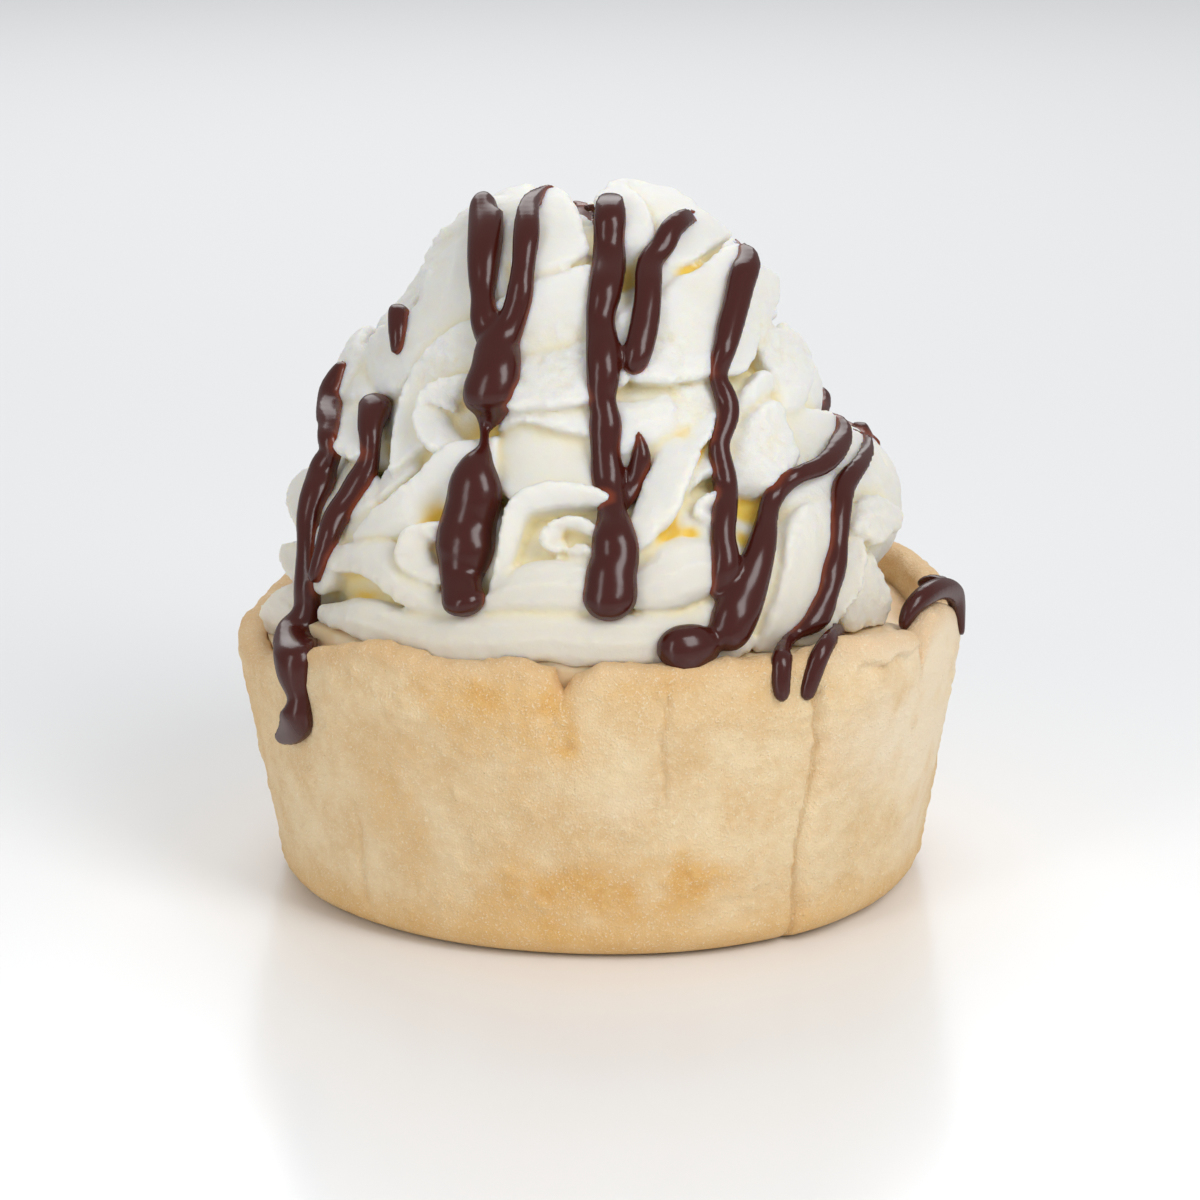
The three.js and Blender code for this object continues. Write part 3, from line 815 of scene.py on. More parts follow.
# %% Folds of the crown and the left side
FOLDS = {
    "shoulder": {"crown": 0, "upper": (
        (-96.1, 23, 2.4), (-92.8, 33.4, 3), (-81.4, 44.4, 2), (-74, 50.6, 0.8), (-94.5, 56.4, 1),
        (-85.9, 60.3, 1.6), (-88.9, 65, 2), (-84.7, 68.7, 2.2), (-90.1, 72.1, 1.8)
    ), "lower": (
        (-82.2, 25.3, -0.3), (-64.6, 31.5, -0.3), (-60.1, 36, -0.3), (-50.1, 45.4, -0.45),
        (-39.8, 50.3, -0.45), (-31.9, 55.2, -0.45), (-34, 59.5, -0.36), (-36.8, 66.4, -0.24),
        (-81.3, 79.3, -0.24)
    )},
    "top_left": {"crown": 0.4, "upper": (
        (-102.4, 65.8, -0.12), (-105.7, 69.5, 0), (-113.7, 71.3, 0.3), (-118, 74.5, 0.3),
        (-124.2, 77.2, 0)
    ), "lower": (
        (-41, 58.8, -0.15), (-36.8, 59, -0.15), (-34.5, 61, -0.15), (-36.4, 64.2, -0.15),
        (-38, 69.5, -0.12)
    )},
    "crown_face": {"crown": 0.2, "upper": (
        (-112.8, 78, 0), (-58.7, 75.1, 0.3), (-44.4, 69.8, 0.6), (-38.1, 63.7, 0.8),
        (-36, 60.3, 0.8), (-33.3, 56.7, 0.6)
    ), "lower": (
        (-85, 82.4, 0.2), (-24.4, 78.2, 0.6), (-11.8, 73.2, 0.6), (-7.1, 68.5, 0.3),
        (-4.7, 65.3, 0), (-11.3, 61.6, -0.15), (-20.5, 58, -0.18)
    )},
    "first_ribbon": {"crown": -0.3, "upper": (
        (-50.4, 16.3, 0.6), (-56.7, 26.2, 1), (-58.2, 32.8, 1), (-58.6, 38.2, 1), (-54.2, 44.8, 1),
        (-48.9, 48.6, 1), (-41.6, 51.4, 1), (-36.2, 53.9, 1), (-31.6, 56.2, 1), (-22.2, 59.8, 0.9),
        (-14.2, 61.8, 0.7), (-4.7, 65.3, 0.4), (4.8, 68.7, 0)
    ), "lower": (
        (-51, 16.9, 0), (-45.2, 22.7, -0.09), (-43.6, 25.6, -0.18), (-46.8, 27.9, -0.3),
        (-49.6, 30.5, -0.36), (-48.3, 34.1, -0.42), (-44.9, 36.6, -0.45), (-34.4, 39.2, -0.36),
        (-26.3, 40.7, -0.3), (-20.1, 42.3, -0.3), (-10.6, 43.8, -0.3), (-2.2, 46.3, -0.3),
        (4.4, 48.6, -0.3)
    )},
    "upper_curl": {"crown": 0.3, "upper": (
        (-33.7, 41.4, 0.6), (-41.1, 39.5, 1.2), (-45.5, 37.3, 1.6), (-48.1, 34.1, 1.8),
        (-48.6, 30.2, 1.8), (-46.3, 26.2, 1.5), (-41.7, 23.3, 1.3), (-39.2, 22.7, 1),
        (-37.2, 24.9, 0.4)
    ), "lower": (
        (-31.9, 37.6, 0.4), (-36.8, 37.6, 0.2), (-39.2, 34.7, -0.12), (-39.3, 32.8, -0.36),
        (-43.2, 34.1, -0.45), (-40.8, 31.5, -0.45), (-37.6, 29.5, -0.42), (-34.7, 28.5, -0.36),
        (-32.8, 28.5, -0.3)
    )},
    "rough_band": {"crown": 0.3, "upper": (
        (-39.8, 41.7, -0.18), (-31.5, 43.8, -0.24), (-22.7, 46, -0.24), (-13.2, 47.8, -0.24),
        (-3.8, 50.3, -0.24), (5.2, 51.9, -0.24)
    ), "lower": (
        (-33.6, 34.7, 1), (-23.7, 33.7, 2), (-19, 33.4, 2.2), (-10.9, 34.4, 2.2), (-2.4, 35, 2.2),
        (2.4, 35.7, 1.8)
    )},
    "ledge": {"crown": 0.1, "upper": (
        (-33.1, 36, -0.12), (-24.3, 37.6, -0.06), (-15.1, 38.2, -0.06), (-2.4, 36.6, 0),
        (2.6, 37.3, 0)
    ), "lower": (
        (-27.3, 28.8, 0), (-21, 31.1, 0.5), (-17.1, 31.8, 0.8), (-9, 30.2, 0.8), (-2.2, 29.2, 0.8),
        (2.3, 28.8, 0.6)
    )},
    "smooth_face": {"crown": -0.3, "upper": (
        (-27.6, 31.5, -0.3), (-20.7, 33.4, -0.36), (-9.6, 33.4, -0.54), (-2.1, 32.4, -0.6),
        (2.8, 31.8, -0.6)
    ), "lower": (
        (-24.5, 17.2, -0.3), (-17.6, 16, -0.3), (-11.6, 17.2, -0.3), (-2.2, 17.2, -0.48),
        (2.1, 16.9, -0.6)
    )},
    "rising_band": {"crown": 0.35, "upper": (
        (-48.7, 10.1, 0.8), (-44, 14, 1.2), (-40.9, 17.2, 1.4), (-39.3, 19.6, 1.5),
        (-38.7, 21.5, 1.5), (-36.1, 25.6, 1.5), (-30, 29.5, 1.3), (-26.4, 32.4, 0.8)
    ), "lower": (
        (-53.9, 2.3, 0.4), (-47, 4.5, 0.4), (-41.2, 6.4, 0.2), (-37.4, 7.8, -0.06),
        (-34.6, 9.5, -0.09), (-32.2, 12, 0), (-26.7, 14.3, 0), (-21.6, 16.6, -0.12)
    )},
    "lower_curl": {"crown": 0.4, "upper": (
        (-28.5, 12.3, 0.6), (-30.9, 11.8, 1.2), (-32.9, 10.9, 1.5), (-35, 10.1, 1.7),
        (-37.3, 8.4, 1.8), (-38.5, 5.3, 1.8), (-38.8, 3.4, 1.6), (-36.9, 1.2, 1.4),
        (-34.1, 0.1, 1.2), (-31, -0.7, 1), (-28, -0.5, 0.5)
    ), "lower": (
        (-27.9, 9.5, 0.3), (-30.6, 9.2, 0), (-31.7, 7.3, -0.09), (-32.9, 6.7, -0.24),
        (-33.2, 5.3, -0.39), (-32.5, 4.5, -0.48), (-33, 5.6, -0.48), (-32.1, 4.8, -0.45),
        (-31.6, 3.9, -0.39), (-29.6, 3.4, -0.24), (-27.2, 3.4, -0.09)
    )},
}

# %% Folds of the foot and the upper right
FOLDS |= {
    "left_band": {"crown": 0.6, "upper": (
        (-58.8, 2.6, -0.18), (-52.1, 4.2, -0.18), (-46.1, 5.6, -0.18), (-40.6, 5.3, -0.18),
        (-37.2, 2.3, -0.12), (-33.3, 0.6, -0.06), (-28.1, -1.3, 0), (-21.6, -0.2, 0)
    ), "lower": (
        (-57, -4, 1), (-52.5, -2.6, 1), (-48.7, -1.6, 1.1), (-44, -1.8, 1.2), (-38.5, -3.4, 1.2),
        (-33.8, -5.1, 1.1), (-28, -5.1, 0.9), (-20.8, -4.3, 0.6)
    )},
    "arch": {"crown": 0.35, "upper": (
        (-21.5, -2.9, 0.3), (-19.7, 1.4, 1), (-18.8, 6.4, 1.5), (-18.6, 11.2, 1.8),
        (-17.7, 14.6, 2), (-15.6, 17.2, 2.2), (-10.9, 19.3, 2.2), (-5.2, 19.3, 2),
        (-1.9, 18.7, 1.8), (2, 17.8, 1.2)
    ), "lower": (
        (-16.8, -0.2, 0.2), (-15.9, 3.7, 0.2), (-15.4, 7, 0.2), (-14.9, 10.6, 0.3),
        (-14.1, 12.6, 0.4), (-12.7, 13.7, 0.5), (-8.8, 14.6, 0.5), (-4.6, 14.9, 0.4),
        (-1.1, 15.2, 0.3), (2, 15.2, 0.2)
    )},
    "spiral": {"crown": 0.2, "upper": (
        (1.9, 11.2, 0.4), (-1.4, 12, 0.9), (-4.9, 12.9, 1.2), (-8.6, 12.6, 1.3), (-10.8, 10.6, 1.3),
        (-10.8, 8.1, 1.2), (-8.9, 6.7, 1), (-6.3, 7, 0.8)
    ), "lower": (
        (1.9, 9.2, 0.2), (-1.4, 9.8, 0.3), (-4.6, 10.9, 0.2), (-6.9, 10.9, 0), (-7.4, 8.9, -0.06),
        (-8, 10.4, -0.09), (-7.9, 9.5, -0.09), (-6.3, 9.5, -0.06)
    )},
    "spiral_tail": {"crown": 0.3, "upper": (
        (-6.4, 8.1, 0.4), (-3.9, 8.4, 0.6), (-1.4, 7.8, 0.6), (1.8, 7.3, 0.3)
    ), "lower": (
        (-6.4, 6.4, 0.2), (-3.9, 6.1, 0.2), (-1.4, 5.9, 0.2), (1.8, 5.3, 0)
    )},
    "first_belly": {"crown": 1.2, "upper": (
        (-19.3, 0.1, 0), (-15.5, 4.2, 0.2), (-11, 5.9, 0.3), (-6.5, 6.1, 0.4), (-1.4, 5.9, 0.2),
        (2.5, 4.8, 0)
    ), "lower": (
        (-23.7, -5.6, 0), (-17.3, -4, 0.6), (-12, -3.4, 0.9), (-6.9, -3.2, 0.9), (-1.3, -3.4, 0.6),
        (2.4, -3.4, 0)
    )},
    "front_band": {"crown": 1, "upper": (
        (-59.3, -8.5, 0), (-49.2, -5.3, 0.5), (-43.5, -4.3, 0.5), (-39.8, -4.5, 0.5),
        (-34.7, -5.1, 0.6), (-28.2, -4.5, 0.6), (-17.3, -3.2, 0.6), (-9.4, -2.4, 0.6),
        (-0.3, -2.6, 0.6), (6.4, -2.6, 0.6), (12.5, -2.1, 0.4), (18, -1.3, 0)
    ), "lower": (
        (-57.1, -12, 0.8), (-48.9, -11.5, 1.6), (-44, -12, 1.7), (-39.2, -12.5, 1.7),
        (-34.7, -12.8, 1.7), (-27.2, -13, 1.7), (-18.3, -12.5, 1.7), (-13.3, -12.3, 1.7),
        (-9.4, -11.2, 1.4), (-2.9, -12, 1.5), (6.2, -12.3, 1.6), (17, -12.5, 1.5)
    )},
    "front_right": {"crown": 0.8, "upper": (
        (9.2, -1.8, -0.09), (15.2, -2.4, 0), (20.8, -1, 0), (26.3, -0.5, -0.09)
    ), "lower": (
        (8.7, -12.3, 1.2), (14.5, -12.5, 1.4), (20.5, -12.3, 1.4), (26.8, -12.3, 0.9)
    )},
    "throat": {"crown": 0, "upper": (
        (7.4, 67.7, -0.6), (12.5, 67.4, 0), (17.6, 67.2, 0.2), (23.7, 66.4, 0)
    ), "lower": (
        (7, 64.2, -2.6), (12.2, 64.2, -2.6), (17.4, 64.2, -2.4), (22.7, 63.7, -1.6)
    )},
    "mid_crown": {"crown": 0, "upper": (
        (150.3, 79.5, -0.09), (71.3, 85.1, 0.3), (36.6, 79, 0.8), (31.8, 74.3, 1), (29, 70, 1),
        (29.2, 66.9, 0.6)
    ), "lower": (
        (-16.6, 81.9, -0.15), (-1.7, 74.3, -0.15), (3.7, 69.5, -0.15), (2.2, 67.9, -0.18),
        (4.2, 65.6, -0.24), (8.7, 63.4, -0.3)
    )},
    "right_crown": {"crown": 0.2, "upper": (
        (161.2, 79.8, -0.06), (112.9, 82.2, 0), (102.5, 78.2, 0), (85.5, 74.8, 0), (74.4, 71.1, 0),
        (85, 63.7, -0.06)
    ), "lower": (
        (39.6, 82.7, -0.18), (30.4, 75.8, -0.18), (27, 69.8, -0.24), (24.9, 64.8, -0.3),
        (22.9, 60.5, -0.42), (29.1, 59, -0.48)
    )},
}

# %% Folds of the middle
FOLDS |= {
    "big_face": {"crown": 0.1, "upper": (
        (16.2, 56.7, 0.4), (20.6, 59, 0.2), (26.9, 60.3, 0), (40.3, 61.6, 0), (65.3, 63.4, 0.2),
        (70.3, 60.3, 0.2), (77.3, 57, 0), (92.6, 53.9, -0.12)
    ), "lower": (
        (3.7, 38.9, 1.4), (7.1, 38.2, 2), (11.4, 38.2, 2.2), (16.8, 38.5, 2.2), (23.9, 39.2, 2.2),
        (31.7, 39.5, 1.8), (39.5, 39.8, 1.2), (47.2, 43.5, 0.6), (65.1, 48.4, 0)
    )},
    "below_pit": {"crown": 0.2, "upper": (
        (1.6, 52.4, -0.3), (5.5, 54.4, -0.24), (10.2, 55.7, -0.18), (15.8, 57.2, -0.12)
    ), "lower": (
        (1.1, 39.5, 0.4), (3.1, 39.5, 0.8), (5.5, 39.8, 1), (8.7, 41.4, 1)
    )},
    "first_lobe": {"crown": 0.9, "upper": (
        (1.1, 38.5, -0.12), (7.1, 37.3, 0), (12.8, 37.9, 0), (17.4, 39.8, -0.09)
    ), "lower": (
        (0.9, 24.3, -0.12), (5.8, 25.3, 0), (12.2, 27.2, 0), (19.9, 29.5, -0.12)
    )},
    "second_lobe": {"crown": 0.2, "upper": (
        (17, 39.8, -0.36), (22.4, 40.4, -0.3), (29.2, 40.7, -0.3), (35, 41, -0.3)
    ), "lower": (
        (21.2, 30.5, -0.6), (24.3, 31.8, -0.42), (28, 33.1, -0.36), (32.9, 34.1, -0.3)
    )},
    "lit_ribbon": {"crown": 0.35, "upper": (
        (30.8, 33.7, 0.8), (25.7, 28.2, 1.8), (22.7, 25.3, 2), (17.8, 19, 2.2), (15.5, 14.9, 2.2),
        (13.5, 11.8, 2.1), (11.5, 10.4, 1.8), (9.4, 8.4, 1.4), (6.2, 6.4, 1), (2.9, 4.2, 0.3)
    ), "lower": (
        (25.4, 33.7, 0.3), (19, 30.8, 0.3), (12.8, 27.5, 0.3), (10.5, 23.3, 0.3), (8.3, 19.3, 0.3),
        (6.3, 15.7, 0.3), (4.6, 12.6, 0.3), (2.6, 10.1, 0.2), (0.8, 7.5, 0), (-2.6, 4.2, -0.12)
    )},
    "small_ridge": {"crown": 0.2, "upper": (
        (20.6, 24.9, -0.48), (23.5, 26.9, -0.3), (28.5, 27.9, -0.24), (32.3, 27.5, -0.24)
    ), "lower": (
        (16.8, 15.7, -0.24), (20.9, 19.6, 0), (24.2, 20.5, 0.2), (29, 20.8, 0.2)
    )},
    "small_curl": {"crown": 0.2, "upper": (
        (27.1, 17.8, 0.2), (22.7, 17.2, 0.6), (19.8, 15.7, 0.9), (18.1, 13.7, 0.9), (19, 11.8, 0.7),
        (21, 10.6, 0.5), (24.6, 10.1, 0.2)
    ), "lower": (
        (26.2, 13.7, -0.06), (23.6, 14, -0.09), (22.5, 14, -0.18), (22, 14, -0.24),
        (22, 13.4, -0.18), (22.9, 12.9, -0.12), (25.8, 12.9, -0.06)
    )},
    "second_belly": {"crown": 1.1, "upper": (
        (4.5, 5.6, -0.09), (7.8, 6.4, 0), (11, 8.9, 0.2), (13.8, 10.4, 0.3), (17.5, 10.4, 0.2),
        (21.1, 9.8, 0), (25, 11.2, -0.06)
    ), "lower": (
        (4.4, -3.7, 0.2), (7.3, -3.4, 0.6), (10.6, -3.4, 0.8), (13.2, -2.9, 0.8), (15.9, -2.1, 0.6),
        (19.1, -1.3, 0.4), (22.8, -0.7, 0)
    )},
    "peak": {"crown": -0.5, "upper": (
        (31.6, 29.2, 0.2), (35.6, 31.5, 0.7), (40.9, 33.4, 1.2), (46.9, 35.4, 1.6), (49, 36, 1.6)
    ), "lower": (
        (26.8, 16.9, 0.6), (30.8, 16, 1), (35.7, 15.7, 1.4), (43.9, 18.1, 1.6), (47.9, 19, 1.4)
    )},
    "peak_crest": {"crown": 0.2, "upper": (
        (35.1, 36, 0.4), (40.4, 38.2, 0.8), (45.1, 40.1, 1), (50.3, 39.2, 0.6)
    ), "lower": (
        (34.6, 30.8, -0.12), (41.9, 33.4, -0.09), (47.4, 34.4, -0.09), (50.7, 35, -0.12)
    )},
}

# %% Folds of the right side
FOLDS |= {
    "under_peak": {"crown": 0.2, "upper": (
        (28, 17.8, -0.6), (31.5, 17.2, -0.4), (35.4, 16.9, -0.4), (39.3, 17.2, -0.4)
    ), "lower": (
        (28.8, 14, -2.6), (31.3, 12.6, -2.8), (33.6, 12, -2.6), (35.6, 12.9, -1.6)
    )},
    "petal": {"crown": 0.8, "upper": (
        (59.6, 48.6, 0), (66.1, 47.5, 0.3), (72.4, 45.1, 0.3), (75.1, 42, 0.3), (73.6, 38.9, 0.3),
        (68.2, 35.4, 0.3), (62.1, 31.8, 0), (59.2, 29.5, -0.09)
    ), "lower": (
        (49.2, 45.7, -0.42), (49.1, 42.9, -0.36), (49.1, 40.7, -0.36), (49.9, 38.5, -0.36),
        (47.9, 39.2, -0.36), (48.8, 37.6, -0.36), (48.3, 34.7, -0.36), (46.8, 30.2, -0.42)
    )},
    "right_shoulder": {"crown": 0.1, "upper": (
        (49.2, 32.8, -0.12), (55.1, 32.1, -0.06), (62.3, 29.8, 0.2), (69.2, 27.5, 0.3),
        (77.6, 23.3, 0)
    ), "lower": (
        (46.1, 17.2, -0.54), (50.9, 16.6, -0.48), (53.6, 17.5, -0.42), (59.4, 17.8, -0.3),
        (65.9, 16.9, -0.18)
    )},
    "far_shoulder": {"crown": 0.2, "upper": (
        (74.8, 24.3, 0), (81.4, 19.9, 0), (86.7, 15.2, 0), (83.5, 11.8, 0), (92.5, 5.9, -0.06)
    ), "lower": (
        (52.2, 17.5, -0.24), (54.1, 16.3, -0.18), (55.3, 14.9, -0.18), (55.6, 13.2, -0.18),
        (54.4, 10.1, -0.24)
    )},
    "bulge": {"crown": 0.8, "upper": (
        (56.9, 10.6, 0), (61.5, 10.6, 0.4), (68, 8.7, 0.5), (72.1, 5.6, 0.4), (73.8, 2.6, 0)
    ), "lower": (
        (50.6, 4.5, 0.6), (52.5, 3.9, 1), (54.8, 2.8, 1.2), (57.6, 1.4, 1.2), (64.5, 2, 0.8)
    )},
    "frill": {"crown": 0.2, "upper": (
        (56.9, 3.9, 1), (54.5, 2.3, 1.4), (52, -1.3, 1.5), (49.1, -4.5, 1.5), (45.7, -6.9, 1.4),
        (43.1, -9.3, 1.2), (40.9, -12, 0.8)
    ), "lower": (
        (49.1, 5, -0.18), (47.2, 2.3, -0.15), (45.1, -1, -0.12), (42.3, -3.4, -0.12),
        (39.6, -5.9, -0.12), (37, -8.2, -0.12), (33.8, -11.7, -0.12)
    )},
    "right_foot": {"crown": 0.2, "upper": (
        (60, 2, -0.18), (60, -1.3, 0), (60.7, -5.1, 0.2), (62.1, -9.1, 0.2), (64.7, -13.3, 0)
    ), "lower": (
        (53.5, -0.7, -0.48), (50.8, -3.4, -0.42), (48.9, -6.1, -0.36), (46.8, -8.5, -0.36),
        (45.3, -11.2, -0.36)
    )},
    "steep_lip": {"crown": 0.3, "upper": (
        (40.4, 12.9, 0.6), (36.6, 10.6, 1.2), (34, 6.7, 1.5), (32.5, 3.1, 1.5), (30.3, -1.3, 1.5),
        (27.2, -6.4, 1.4), (24.8, -10.9, 1)
    ), "lower": (
        (58.4, 13.7, -0.18), (51.5, 8.4, -0.18), (48.1, 4.5, -0.18), (44.7, -0.5, -0.18),
        (41.3, -5.1, -0.12), (37.4, -9.3, -0.06), (32.7, -12.5, 0)
    )},
    "under_i": {"crown": 0.2, "upper": (
        (35.4, 14, -0.12), (33.9, 10.6, 0), (31.3, 6.4, 0.4), (28.1, 2.6, 0.7), (24.6, -1.8, 0.9),
        (20.3, -5.9, 0.9)
    ), "lower": (
        (42.5, 10.1, -0.42), (40.1, 7.8, -0.36), (37.6, 4.2, -0.3), (34.8, -0.5, -0.24),
        (31, -4.8, -0.18), (26.1, -10.1, -0.12)
    )},
    "above_strand": {"crown": 0.3, "upper": (
        (39, 18.4, -0.06), (45.6, 18.1, 0), (53, 18.4, 0.1), (59.7, 17.5, 0)
    ), "lower": (
        (36.6, 9.8, -0.3), (41.6, 10.4, -0.24), (47.7, 11.8, -0.18), (54.3, 11.8, -0.18)
    )},
}

# %% Folds of the far left
FOLDS |= {
    "side_lobe": {"crown": 0.3, "upper": (
        (-96.2, 20.5, 2.2), (-91, 24.6, 1.6), (-75.2, 31.8, -0.09)
    ), "lower": (
        (-71.6, 15.4, 2.2), (-64.1, 16.6, 1.6), (-56.4, 16.9, 1)
    )},
    "side_upper": {"crown": 0.2, "upper": (
        (-93.1, 29.5, 3), (-92.8, 33.4, 2.6), (-82.6, 35.7, 1)
    ), "lower": (
        (-91.9, 20.5, 2.6), (-80.1, 24.6, 1.8), (-68.8, 29.5, 0.2)
    )},
    "side_recess": {"crown": 0, "upper": (
        (-88.4, 14.3, -1.4), (-74, 16.6, -1.4), (-63, 17.2, -1.4), (-54.1, 17.2, -1.4)
    ), "lower": (
        (-73.3, 7.3, -1), (-63.4, 7, -1), (-56.6, 7, -1), (-51.5, 10.4, -1)
    )},
    "recess": {"crown": 0, "upper": (
        (-56.2, 17.8, -1.4), (-51.7, 22.1, -1.6), (-47.9, 24.6, -1.6)
    ), "lower": (
        (-53.1, 10.6, -1.4), (-48.9, 15.4, -1.4), (-45.8, 19.9, -1.4)
    )},
    "outer_frill": {"crown": 0.2, "upper": (
        (-88.5, 8.1, 1), (-85.3, 5.6, 1.8), (-78.9, 3.4, 2), (-72.8, 1.7, 1.7), (-68.7, 0.3, 0.8)
    ), "lower": (
        (-79.1, 14.3, -0.42), (-68.9, 10.4, -0.42), (-66, 7.8, -0.42), (-65.5, 5.6, -0.42),
        (-62.3, 1.4, -0.42)
    )},
    "middle_frill": {"crown": 0.2, "upper": (
        (-68.4, 0.6, 0.8), (-74.9, -2.4, 1.6), (-75.9, -4.5, 1.8), (-72.2, -6.1, 1.6),
        (-70.3, -7.7, 0.8)
    ), "lower": (
        (-59.6, 0.6, -0.42), (-59.3, -1.8, -0.42), (-60.1, -4, -0.42), (-59, -3.4, -0.42),
        (-58.7, -6.9, -0.42)
    )},
    "lower_frill": {"crown": 0.4, "upper": (
        (-67.7, -6.4, 1), (-71.7, -8.8, 2.4), (-75.6, -12, 3.2), (-82.4, -15.7, 3.4),
        (-79.6, -19.9, 2.6)
    ), "lower": (
        (-58.7, -6.9, -0.3), (-60, -9.9, -0.18), (-62.1, -12.5, -0.12), (-61, -13.6, -0.06),
        (-80.1, -21.2, 0)
    )},
    "between_drips": {"crown": 0.4, "upper": (
        (-68.4, 2, -0.12), (-63.1, 5.3, -0.06), (-55, 2.3, 0)
    ), "lower": (
        (-60.8, -8.5, 0.2), (-56.1, -6.1, 0.5), (-53.6, -3.7, 0.4)
    )},
    "left_shoulder": {"crown": 0.8, "upper": (
        (-130, 30, 2), (-112, 36, 3.4), (-97, 38, 3.8), (-84, 37, 2.2)
    ), "lower": (
        (-130, 10, 1), (-110, 13, 2.6), (-95, 17, 3.2), (-82, 22, 2.2)
    )},
    "left_cheek": {"crown": 0.2, "upper": (
        (-128, 54, -0.4), (-110, 57, -0.3), (-95, 57, -0.3), (-84, 54, -0.4)
    ), "lower": (
        (-128, 32, 0.6), (-110, 36, 1.6), (-95, 39, 2), (-82, 40, 1.2)
    )},
}
print(len(FOLDS), "folds are laid out")

# %% [markdown]
# ### Bending a fold
# A fold could be sculpted, but a rule is easier to mend: a long ball is laid between the two
# edges, squared off to a thick band, and drawn in a little underneath, so that its lip overhangs.

# %% Bend a fold out of a ball
UNDERCUT = 0.22
SQUARE = 0.32
BLUNT = 0.16  # the smaller, the blunter the ends of a fold
FOLD_THICK = 5.0
END_DIP = 2.0


def edge_of(stops, shares):
    azimuth, rise, lift = np.array(stops, float).T
    line = curved(np.column_stack([toward(azimuth, rise) * ARM, lift]), shares)
    return line[:, :3], line[:, 3]


def fold(crown, upper, lower):
    body, share, face = long_ball(40, 10 + 6 * max(len(upper), len(lower)))
    plump = np.sin(math.pi * share) ** BLUNT
    across = np.sign(np.cos(face)) * np.abs(np.cos(face)) ** SQUARE
    depth = np.sign(np.sin(face)) * np.abs(np.sin(face)) ** SQUARE
    across = across * (1 - UNDERCUT * (1 - depth) / 2)
    part = (1 + across * plump) / 2
    high, high_lift = edge_of(upper, share)
    low, low_lift = edge_of(lower, share)
    width = np.linalg.norm(high - low, axis=1)
    lift = mix(low_lift, high_lift, part) + crown * 4 * part * (1 - part)
    lift = lift - END_DIP * (1 - plump)
    thick = np.minimum(FOLD_THICK, 0.8 * width + 1.5)
    lift = lift - (lift + thick) * (1 - depth) / 2
    points, _ = on_heap(mix(low, high, part[:, None]), lift)
    move_points(body, points)
    return body


folds = [fold(**measures) for measures in FOLDS.values()]
print(len(folds), "folds")

# %% [markdown]
# ### Lips and hollows
# A lip stands out of the smoothed shape and a hollow lies under it. Smoothing a copy and taking
# the difference finds both, without any look at the single folds.


# %% Find lips and hollows
def neighbours(piece):
    pairs = np.empty(2 * len(piece.data.edges), dtype=np.int32)
    piece.data.edges.foreach_get("vertices", pairs)
    return pairs.reshape(-1, 2)


def relaxed(points, pairs, strokes):
    """The same points after many strokes of smoothing: what the shape is without its detail."""
    first, second = pairs.T
    count = np.bincount(pairs.ravel(), minlength=len(points))[:, None]
    for _ in range(strokes):
        total = np.zeros_like(points)
        for axis in range(3):
            total[:, axis] = np.bincount(first, points[second, axis], len(points))
            total[:, axis] += np.bincount(second, points[first, axis], len(points))
        points = mix(points, total / count, 0.6)
    return points


def hollowness(piece, strokes):
    """How far each point lies below the smoothed shape; lips are negative."""
    points = points_of(piece)
    soft = relaxed(points, neighbours(piece), strokes)
    return np.einsum("ij,ij->i", soft - points, normals_of(piece))


# %% [markdown]
# ### One skin
# The joined balls are melted together. A voxel of under half a millimetre keeps the lips thin, and
# one stroke of smoothing takes the steps out. Faces that nobody looks at closely, behind and
# underneath, are thinned first. Then hollows are filled a little, lips are crisped, and the pits
# between the folds are pushed in.

# %% Melt the cream into one skin
CREAM_VOXEL = 0.41
CREAM_FACES = 188000
SPARE_BEHIND = (95, 130)  # azimuths to both sides over which the thinning sets in
SPARE_BELOW = (30, 32)  # heights over which it fades out above the underside
FILLED = 0.25  # shares of its depth by which a hollow is filled and a lip is raised
CRISP = 0.9
CRISP_LIMITS = (-0.25, 0.4)
PITS = (
    # azimuth, rise, reach in mm, depth in mm
    (-31, 31, 2.6, 3.0),
    (-34, 12, 2.2, 2.4),
    (-21, 12, 1.6, 2.4),
    (8, 62, 3.0, 3.5),
    (21, 27, 1.6, 2.0),
    (32, 14, 3.4, 3.0),
    (-10, 12, 1.2, 1.2),
    (17, 10, 1.2, 1.2),
    (8, 57, 1.6, 1.0),
    (34, 58, 3.2, 0.8),
    (28, 8, 2.0, 1.6),
    (-50, -6, 2.4, 0.6),
    (13, 11, 1.6, 1.6),
)
ROUGH = (
    # azimuth, rise, reach in mm: where the skin of the cream tore while it was stretched
    (-85, 58, 6), (-95, 50, 6), (-44, 39, 5), (-25, 41, 5), (-9, 44, 5), (17, 47, 4), (21, 40, 5),
    (38, 25, 5), (-92, 40, 8), (-100, 26, 6), (56, 14, 6), (60, 2, 7), (56, -8, 6), (60, 45, 6),
    (-150, 10, 14), (140, 30, 12), (180, 60, 10),
)


